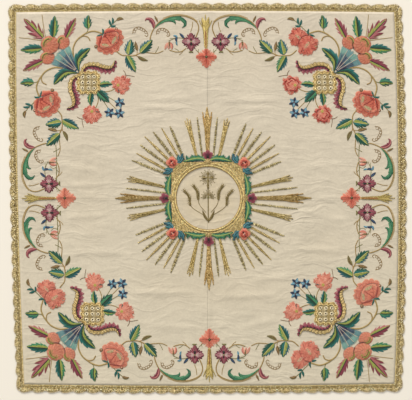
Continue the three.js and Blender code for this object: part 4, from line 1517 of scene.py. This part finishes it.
# %% Wreath round the frame
def turned(x, y, quarters):
    """Points turned round the middle by this many quarters, to the left."""
    for _ in range(quarters):
        x, y = -y, x
    return x, y


WREATH_INSETS = (0.0, 0.5, 3.4, 1.0)  # how far the leaves lie onto the frame: top, left, bottom, right


def wreath(inset):
    """Leaves along one quarter of the frame, with its two kinds of flower."""
    green, pale, shade = (34, 98, 70), (108, 150, 84), (28, 74, 62)
    blue, light_blue = (34, 88, 98), (98, 150, 150)
    strip = [
        leaf([(3, 54.5), (12, 57), (23, 55.6), (35, 52.2)], 4.7, (green, pale, shade, MINT), teeth=6, bite=0.42,
             rib=(178, 182, 104), peak=0.5, lean=36),
        leaf([(7, 57), (11.5, 59), (14.5, 63)], 1.8, (TEAL, MINT, green, MINT), rib=None),
        leaf([(15, 57), (20, 59), (23.5, 62.5)], 2.0, (TEAL, MINT, green, MINT), rib=None),
        leaf([(25, 54.6), (28.8, 57.2), (30.5, 61.8)], 2.0, (TEAL, MINT, green, LEAF_DARK), rib=None),
        leaf([(43, 51), (38, 54.5), (35.2, 64.5)], 3.8, (blue, light_blue, blue, (64, 124, 128)), teeth=3, bite=0.42,
             rib=(30, 44, 62)),
        leaf([(42, 53), (41.5, 58), (40.4, 62.5)], 2.0, (blue, light_blue, blue, TEAL), rib=None),
    ]
    for part in strip:
        part[:, [1, 3]] -= inset
        part[:, 5:7] += 1.0
    made = [mirrored(part, side, 1) for side in (-1, 1) for part in strip]
    pink = np.array([51.0, 50.2])
    petals = loop(pink, 9.0, 4, 2.6, 0)
    made += [
        fill(loop(pink, 0.6), petals, (CORAL, CORAL_LIGHT, (224, 142, 114), CORAL_LIGHT), (1.9, 1.3)),
        ring(pink, 2.0, 6.0, (184, 82, 62), low=1.9, high=1.6, spacing=2.4),
        rows(pink + (-0.6, -0.4), pink + (-4.6, -2.6), 3.0, 2.0, 1.9, (48, 22, 28)),
        rows(pink + (0.6, 0.4), pink + (4.6, 2.6), 3.0, 2.0, 1.9, (48, 22, 28)),
        stem([pink + (-2.2, 2.0), pink + (2.2, -2.0)], 1.0, (232, 190, 166), lift=2.1),
    ]
    side = np.array([0.0, 61.6])
    petals = loop(side, 7.6, 5, 2.2, 90)
    made += [
        fill(loop(side, 0.6), petals, (PURPLE_DARK, (110, 46, 58), PURPLE, (162, 82, 92)), (1.6, 1.0)),
        ring(side, 0.2, 5.2, RIB, span=(240, 300), low=1.9, high=1.7),
    ]
    return np.vstack(made)


def quarter_turns(stitches):
    """The same piece made for each quarter."""
    made = []
    for turn, inset in enumerate(WREATH_INSETS):
        part = stitches(inset)
        for i in (0, 2):
            part[:, i], part[:, i + 1] = turned(part[:, i].copy(), part[:, i + 1].copy(), turn)
        made.append(part)
    return np.vstack(made)


needlework("wreath", raised(quarter_turns(wreath)))

# %% [markdown]
# ## The medallion
#
# The opening holds a plain cross on a tall stem, with rays of fine gold round its head and its middle, two
# leaves at its foot, and ears of wheat that bend outwards on both sides. All of it is gold thread on silk.

# %% Cross and wheat
WHEAT = (132, 114, 66)


def ear(stalk, grains=9):
    """An ear of wheat: pairs of grains up the last part of a stalk, and its awns."""
    line, way = curve(stalk, 0.5)
    side = aside(way)
    made = [stem(stalk, 1.0, WHEAT)]
    for share in np.linspace(0.5, 0.97, grains):
        i = int(share * (len(line) - 1))
        for sign in (-1, 1):
            tip = line[i] + side[i] * sign * 1.9 + way[i] * 3.2
            made.append(rows(line[i], tip, 1.7, 0.4, 0.3, WHEAT))
            made.append(rows(tip, tip + side[i] * sign * 0.9 + way[i] * 3.0, 0.4, 0.2, 0.15, WHEAT))
    made.append(rows(line[-1], line[-1] + way[-1] * 4.4, 1.5, 0.3, 0.2, WHEAT))
    return dyed(np.vstack(made), 7)


def burst(centre, inner, outer, count, span=(0, 360)):
    """Long and short rays round a centre, each with a dot at its tip."""
    a = np.radians(span[0] + (np.arange(count) + 0.5) / count * (span[1] - span[0]))
    out = around(a)
    reach = np.where(np.arange(count) % 2, outer, outer * 0.76)[:, None]
    centre = np.array(centre)
    tips = [knot(centre + way * far, 0.7, WHEAT, 0.05) for way, far in zip(out, reach)]
    return np.vstack([rows(centre + out * inner, centre + out * reach, 0.85, 0.2, 0.15, WHEAT)] + tips)


def medallion():
    """The cross on its stem, two bursts, two leaves and four ears."""
    made = [
        stem([(0, -35), (0, -4), (0, 18)], 1.5, WHEAT),
        smooth_ray((0, 14), (0, 37), [1.2, 1.1, 1.1, 1.5], WHEAT, 3, 1.6),
        smooth_ray((-7.5, 29.5), (7.5, 29.5), [1.7, 1.1, 1.1, 1.7], WHEAT, 3, 1.6),
        burst((0, 29.5), 3.4, 11.5, 24),
        burst((0, 1), 2.4, 10.0, 17, (-20, 200)),
        knot((0, 1), 2.0, OLIVE, 0.2),
    ] + [leaf([(0, -33), (side * 5, -26), (side * 8.5, -17)], 1.9, (WHEAT,) * 4, rib=None) for side in (-1, 1)]
    for side in (-1, 1):
        made.append(ear([(side * 4, -20), (side * 13, -8), (side * 15, 8), (side * 20, 17)]))
        made.append(ear([(side * 7, -24), (side * 24, -12), (side * 27, 2), (side * 33, 10)]))
    return np.vstack(made)


goldwork("medallion_gold", raised(medallion()))
print("pieces sewn:", len(ON_SILK), "stitches in the sunburst:", sum(len(part) for part in sunburst))


# %% [markdown]
# ## The gold lace
#
# The edging is woven of gilt thread. Next to the silk runs a firm heading of cords, then a net of crossing
# threads, and each scallop is a fan of loops held by a cord. One scallop is made as rows of stitches and
# repeated along each side, over a thin woven ground that follows the scalloped outline.

# %% Lace
LACE_WIDTH, SCALLOP_DEPTH = 11.5, 3.0
LACE_SIDES = [("top", 0, 27), ("left", 1, 28), ("bottom", 2, 28), ("right", 3, 28)]
LACE_MAIN, LACE_DARK, LACE_BRIGHT = (194, 170, 110), (158, 136, 82), (222, 200, 142)
# Painted highlight for the glints of gilt strip, and painted shade for the holes
GLINT_COLOUR, HOLE_SHADE = (250, 232, 186), (114, 94, 54)
LOWER_LACE_BRIGHTER = 1.05  # how much brighter the lower length of lace is made
# Rows of painted highlights (glints of flat gilt strip) and of painted shade in the holes: how far out, their pitch,
# colour and size
GLINTS = [(1.9, 0.24, GLINT_COLOUR, 1.5), (4.5, 0.19, GLINT_COLOUR, 1.5), (4.4, 0.27, HOLE_SHADE, 1.5), (7.2, 0.23, HOLE_SHADE, 1.5),
          (6.9, 0.21, GLINT_COLOUR, 1.4), (9.0, 0.16, GLINT_COLOUR, 1.3), (8.4, 0.2, HOLE_SHADE, 1.3)]


def lace_width(along):
    """How wide the lace is, at a place counted in scallops."""
    return LACE_WIDTH - SCALLOP_DEPTH * (1 - np.abs(np.sin(np.pi * along)))


def lace_rows(scallops):
    """Threads of one side of lace. x is counted in scallops from its left end, y in mm from the silk."""
    made = []

    def threads(x0, y0, x1, y1, width, lift, colour, spread=14):
        x0, y0, x1, y1 = np.broadcast_arrays(*(np.asarray(v, float) for v in (x0, y0, x1, y1)))
        made.append(dyed(rows(np.stack([x0, y0], 1), np.stack([x1, y1], 1), width, lift, lift, colour), spread))

    # The heading, the net of crossing threads outside it, and the spokes of each scallop
    s = np.arange(0, scallops, 0.14)
    for y, tone in ((0.4, LACE_BRIGHT), (1.4, LACE_MAIN), (2.4, LACE_DARK)):
        threads(s, y, s + 0.17, y, 1.2, 0.9, tone)
    s = np.arange(0, scallops, 0.1)
    up = np.minimum(s + 0.16, scallops)
    threads(s, 2.7, up, 6.4, 0.9, 0.8, LACE_MAIN)
    threads(up, 2.7, s, 6.4, 0.9, 0.88, LACE_DARK)
    middle = np.arange(scallops) + 0.5
    for spoke in np.linspace(-1, 1, 11):
        end = middle + spoke * 0.47
        far = lace_width(end) - 0.5
        tone = LACE_BRIGHT if round((spoke + 1) * 5) % 2 == 0 else LACE_MAIN
        threads(middle + spoke * 0.16, 5.0, end, far, 1.2, 0.85, tone)
    # The cord that holds the scallop's edge, and the loops that stand out of it
    s = np.arange(0, scallops, 1 / 14)
    following = s + 1 / 14
    threads(s, lace_width(s) - 0.5, following, lace_width(following) - 0.5, 1.0, 0.85, (188, 166, 116), 26)
    s = np.arange(0.06, scallops, 0.1)
    threads(s, lace_width(s) - 0.5, s + loose(len(s), 0.03), lace_width(s) + 0.4 + loose(len(s), 0.3), 1.0, 0.7,
            (216, 196, 152))
    for y, pitch, colour, size in GLINTS:
        s = np.arange(0.08, scallops - 0.08, pitch)
        s = s + loose(len(s), pitch * 0.35)
        level = np.minimum(y + loose(len(s), 0.8), lace_width(s) - 1.2)
        keep = chance.random(len(s)) < 0.86
        s, level = s[keep], level[keep]
        threads(s - 0.035, level, s + 0.035, level + loose(len(s), 0.4), size, 1.0, colour, 8)
    # A painted highlight on the knot between two scallops, and painted shade in the eye of each
    notch = np.arange(0, scallops + 1).clip(0.06, scallops - 0.06)
    threads(notch - 0.05, 6.2, notch + 0.05, 6.4, 2.0, 1.0, GLINT_COLOUR, 8)
    threads(middle - 0.08, 5.0, middle + 0.08, 5.0, 2.0, 1.0, (104, 82, 46))
    return np.vstack(made)


def lace_point(s, y, scallops, quarters):
    """Moves a point of the lace to its place along one side of the square."""
    along = s / scallops * 2 - 1
    reach = along * (HALF_SIDE + y)
    return turned(reach, HALF_SIDE + 0.3 + y, quarters)


# The section of the ground: how far out each of its points is, and its height in mm
GROUND_SHARES = np.array([0.0, 0.0, 0.5, 0.88, 0.94])
GROUND_HEIGHTS = np.array([0.0, 0.85, 0.8, 0.65, 0.0])


def lace_ground(name, scallops, quarters):
    """The thin woven ground under the threads: a strip that follows the scallops."""
    steps = scallops * 12
    s = np.linspace(0, scallops, steps + 1)
    x, y = lace_point(s[:, None], GROUND_SHARES * (lace_width(s) - 0.3)[:, None], scallops, quarters)
    x, y = lie(x, y)
    points = in_frame(x, y, np.broadcast_to(GROUND_HEIGHTS, x.shape)).reshape(-1, 3)
    k = len(GROUND_SHARES)
    faces = []
    for i in range(steps):
        for j in range(k):
            a, b = i * k + j, i * k + (j + 1) % k
            faces.append((a, a + k, b + k, b))
    faces.append(tuple(range(k)))
    faces.append(tuple(steps * k + j for j in reversed(range(k))))
    mesh = bpy.data.meshes.new(name)
    mesh.from_pydata(points.tolist(), [], faces)
    give_colour(mesh, (146, 126, 82))
    flat = np.empty(len(mesh.loops), int)
    mesh.loops.foreach_get("vertex_index", flat)
    give_map(mesh, "strand", points[flat, :2] * 1000)
    return mesh


LACE = []
for side, quarters, scallops in LACE_SIDES:
    threads = lace_rows(scallops)
    for i in (0, 2):
        threads[:, i], threads[:, i + 1] = lace_point(threads[:, i], threads[:, i + 1], scallops, quarters)
    threads[:, 5:7] -= SILK_TOP  # the lace lies on the table beside the silk
    if side == "bottom":
        threads[:, 7:10] *= LOWER_LACE_BRIGHTER
    LACE.append(sew(f"lace_threads_{side}", threads, GOLD, [f"lace_{side}"], rise=0.5))
    ground = lace_ground(f"lace_ground_{side}", scallops, quarters)
    LACE.append(finish_piece(f"lace_ground_{side}", ground, GOLD))
print("lace pieces:", len(LACE))

# %% [markdown]
# ## The silk ground
#
# The silk is one sheet, modelled as a fine grid whose points are raised into the creases and moved to the
# cloth's true outline, then given the thickness of silk with the backs of its stitches. Old silk isn't one
# colour: it has darkened a little round the needlework and towards the lower edge.

# %% The sheet
# Each darker patch of the silk: its middle, half its width and height in mm, and how dark it is
STAINS = [(0, 200, 190, 30, 0.1), (-170, 5, 30, 80, 0.12), (30, -130, 90, 30, 0.14), (-60, -120, 60, 26, 0.1),
          (160, -70, 50, 30, 0.1), (0, 0, 70, 70, 0.08)]


def silk_tone(x, y):
    """The silk's colour from place to place."""
    tone = blend((211, 198, 175), (212, 200, 174), np.clip(0.5 - y / HALF_SIDE * 0.5, 0, 1))
    tone = blend(tone, (210, 194, 163), np.exp(-((np.hypot(x, y) / 44) ** 6)))
    for spot_x, spot_y, wide, high, amount in STAINS:
        near = np.exp(-(((x - spot_x) / wide) ** 2) - ((y - spot_y) / high) ** 2)
        tone = blend(tone, (196, 178, 146), amount * near)
    return tone


SILK_STEPS = 168
CLOTH_THICKNESS = 1.1 * MM  # the silk with the backs of its stitches
bpy.ops.object.select_all(action="DESELECT")
bpy.ops.mesh.primitive_grid_add(x_subdivisions=SILK_STEPS, y_subdivisions=SILK_STEPS, size=2 * HALF_SIDE)
silk = bpy.context.active_object
silk.name = "silk_cloth"
flat = np.array([v.co for v in silk.data.vertices])
x, y = flat[:, 0], flat[:, 1]
top = silk_height(x, y)
silk.data.vertices.foreach_set("co", in_frame(*lie(x, y), top).astype(np.float32).ravel())
give_colour(silk.data, silk_tone(x, y))
silk.data.polygons.foreach_set("use_smooth", np.ones(len(silk.data.polygons), bool))
silk.data.update()
bpy.context.view_layer.objects.active = silk
bpy.ops.object.modifier_add(type="SOLIDIFY")
silk.modifiers[-1].thickness = CLOTH_THICKNESS
silk.modifiers[-1].offset = -1
bpy.ops.object.modifier_apply(modifier=silk.modifiers[-1].name)
silk.data.materials.clear()
silk.data.materials.append(SILK)
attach(silk, "root")
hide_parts("silk_ground")

# %% [markdown]
# ## Table, light and camera
#
# The veil was photographed from straight above on a cream ground, in soft even light from the top of the
# picture, which is what makes the creases show. The camera stands far enough away to see no slope in the sides.

# %% Table and lights
DAYLIGHT = (1.0, 0.99, 0.98)
TABLE_SIZE, TABLE_DEPTH = 6, 0.0002  # the table lies just under the cloth
scene = bpy.context.scene
scene.view_settings.view_transform = "Standard"
bpy.ops.mesh.primitive_plane_add(size=TABLE_SIZE, location=(0, 0, -TABLE_DEPTH))
table = bpy.context.active_object
table.name = "table"
paper, tree, surface = fresh("pale_paper", Roughness=0.9, Specular_IOR_Level=0.1)
surface.inputs["Base Color"].default_value = (*linear((246, 238, 222)), 1)
table.data.materials.append(paper)

world = bpy.data.worlds.new("soft_room")
scene.world = world
world.use_nodes = True
sky = world.node_tree.nodes["Background"].inputs
sky["Color"].default_value = (1.0, 0.99, 0.985, 1)
sky["Strength"].default_value = 0.5


def window_light(place, size, power):
    """A square lamp that faces the middle of the cloth."""
    bpy.ops.object.light_add(type="AREA", location=place)
    made = bpy.context.active_object
    made.name = "window"
    made.data.shape = "SQUARE"
    made.data.size = size
    made.data.energy = power
    made.data.color = DAYLIGHT
    way = -np.array(place)
    made.rotation_euler = (math.atan2(math.hypot(way[0], way[1]), -way[2]), 0, math.atan2(way[1], way[0]) - math.pi / 2)


window_light((-2.6, 7.6, 4.0), 3.4, 930)

# %% Camera
VIEW_PX, VIEW_MM = 412, 1.4315  # pixels across the photo, and how much of the cloth each one shows
CAMERA_HEIGHT = 2.4
AIM = (-1.0, -2.5)  # the middle of the photo in the design's mm
SENSOR = 36
camera_data = bpy.data.cameras.new("above")
camera = bpy.data.objects.new("above", camera_data)
scene.collection.objects.link(camera)
camera.location = ((AIM[0] + SHIFT[0]) * MM, (AIM[1] + SHIFT[1]) * MM, CAMERA_HEIGHT)
camera_data.sensor_width = SENSOR
camera_data.lens = SENSOR * CAMERA_HEIGHT / (VIEW_PX * VIEW_MM * MM)
camera_data.clip_end = 20
scene.camera = camera

# %% Sizes and finish
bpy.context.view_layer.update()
CLOTH = LACE + ON_SILK + [silk]
COUNTS = {piece.name: sum(len(face.vertices) - 2 for face in piece.data.polygons) for piece in CLOTH}
LARGEST = max(COUNTS, key=COUNTS.get)
print("triangles in all:", sum(COUNTS.values()), "in the largest piece:", COUNTS[LARGEST], LARGEST)
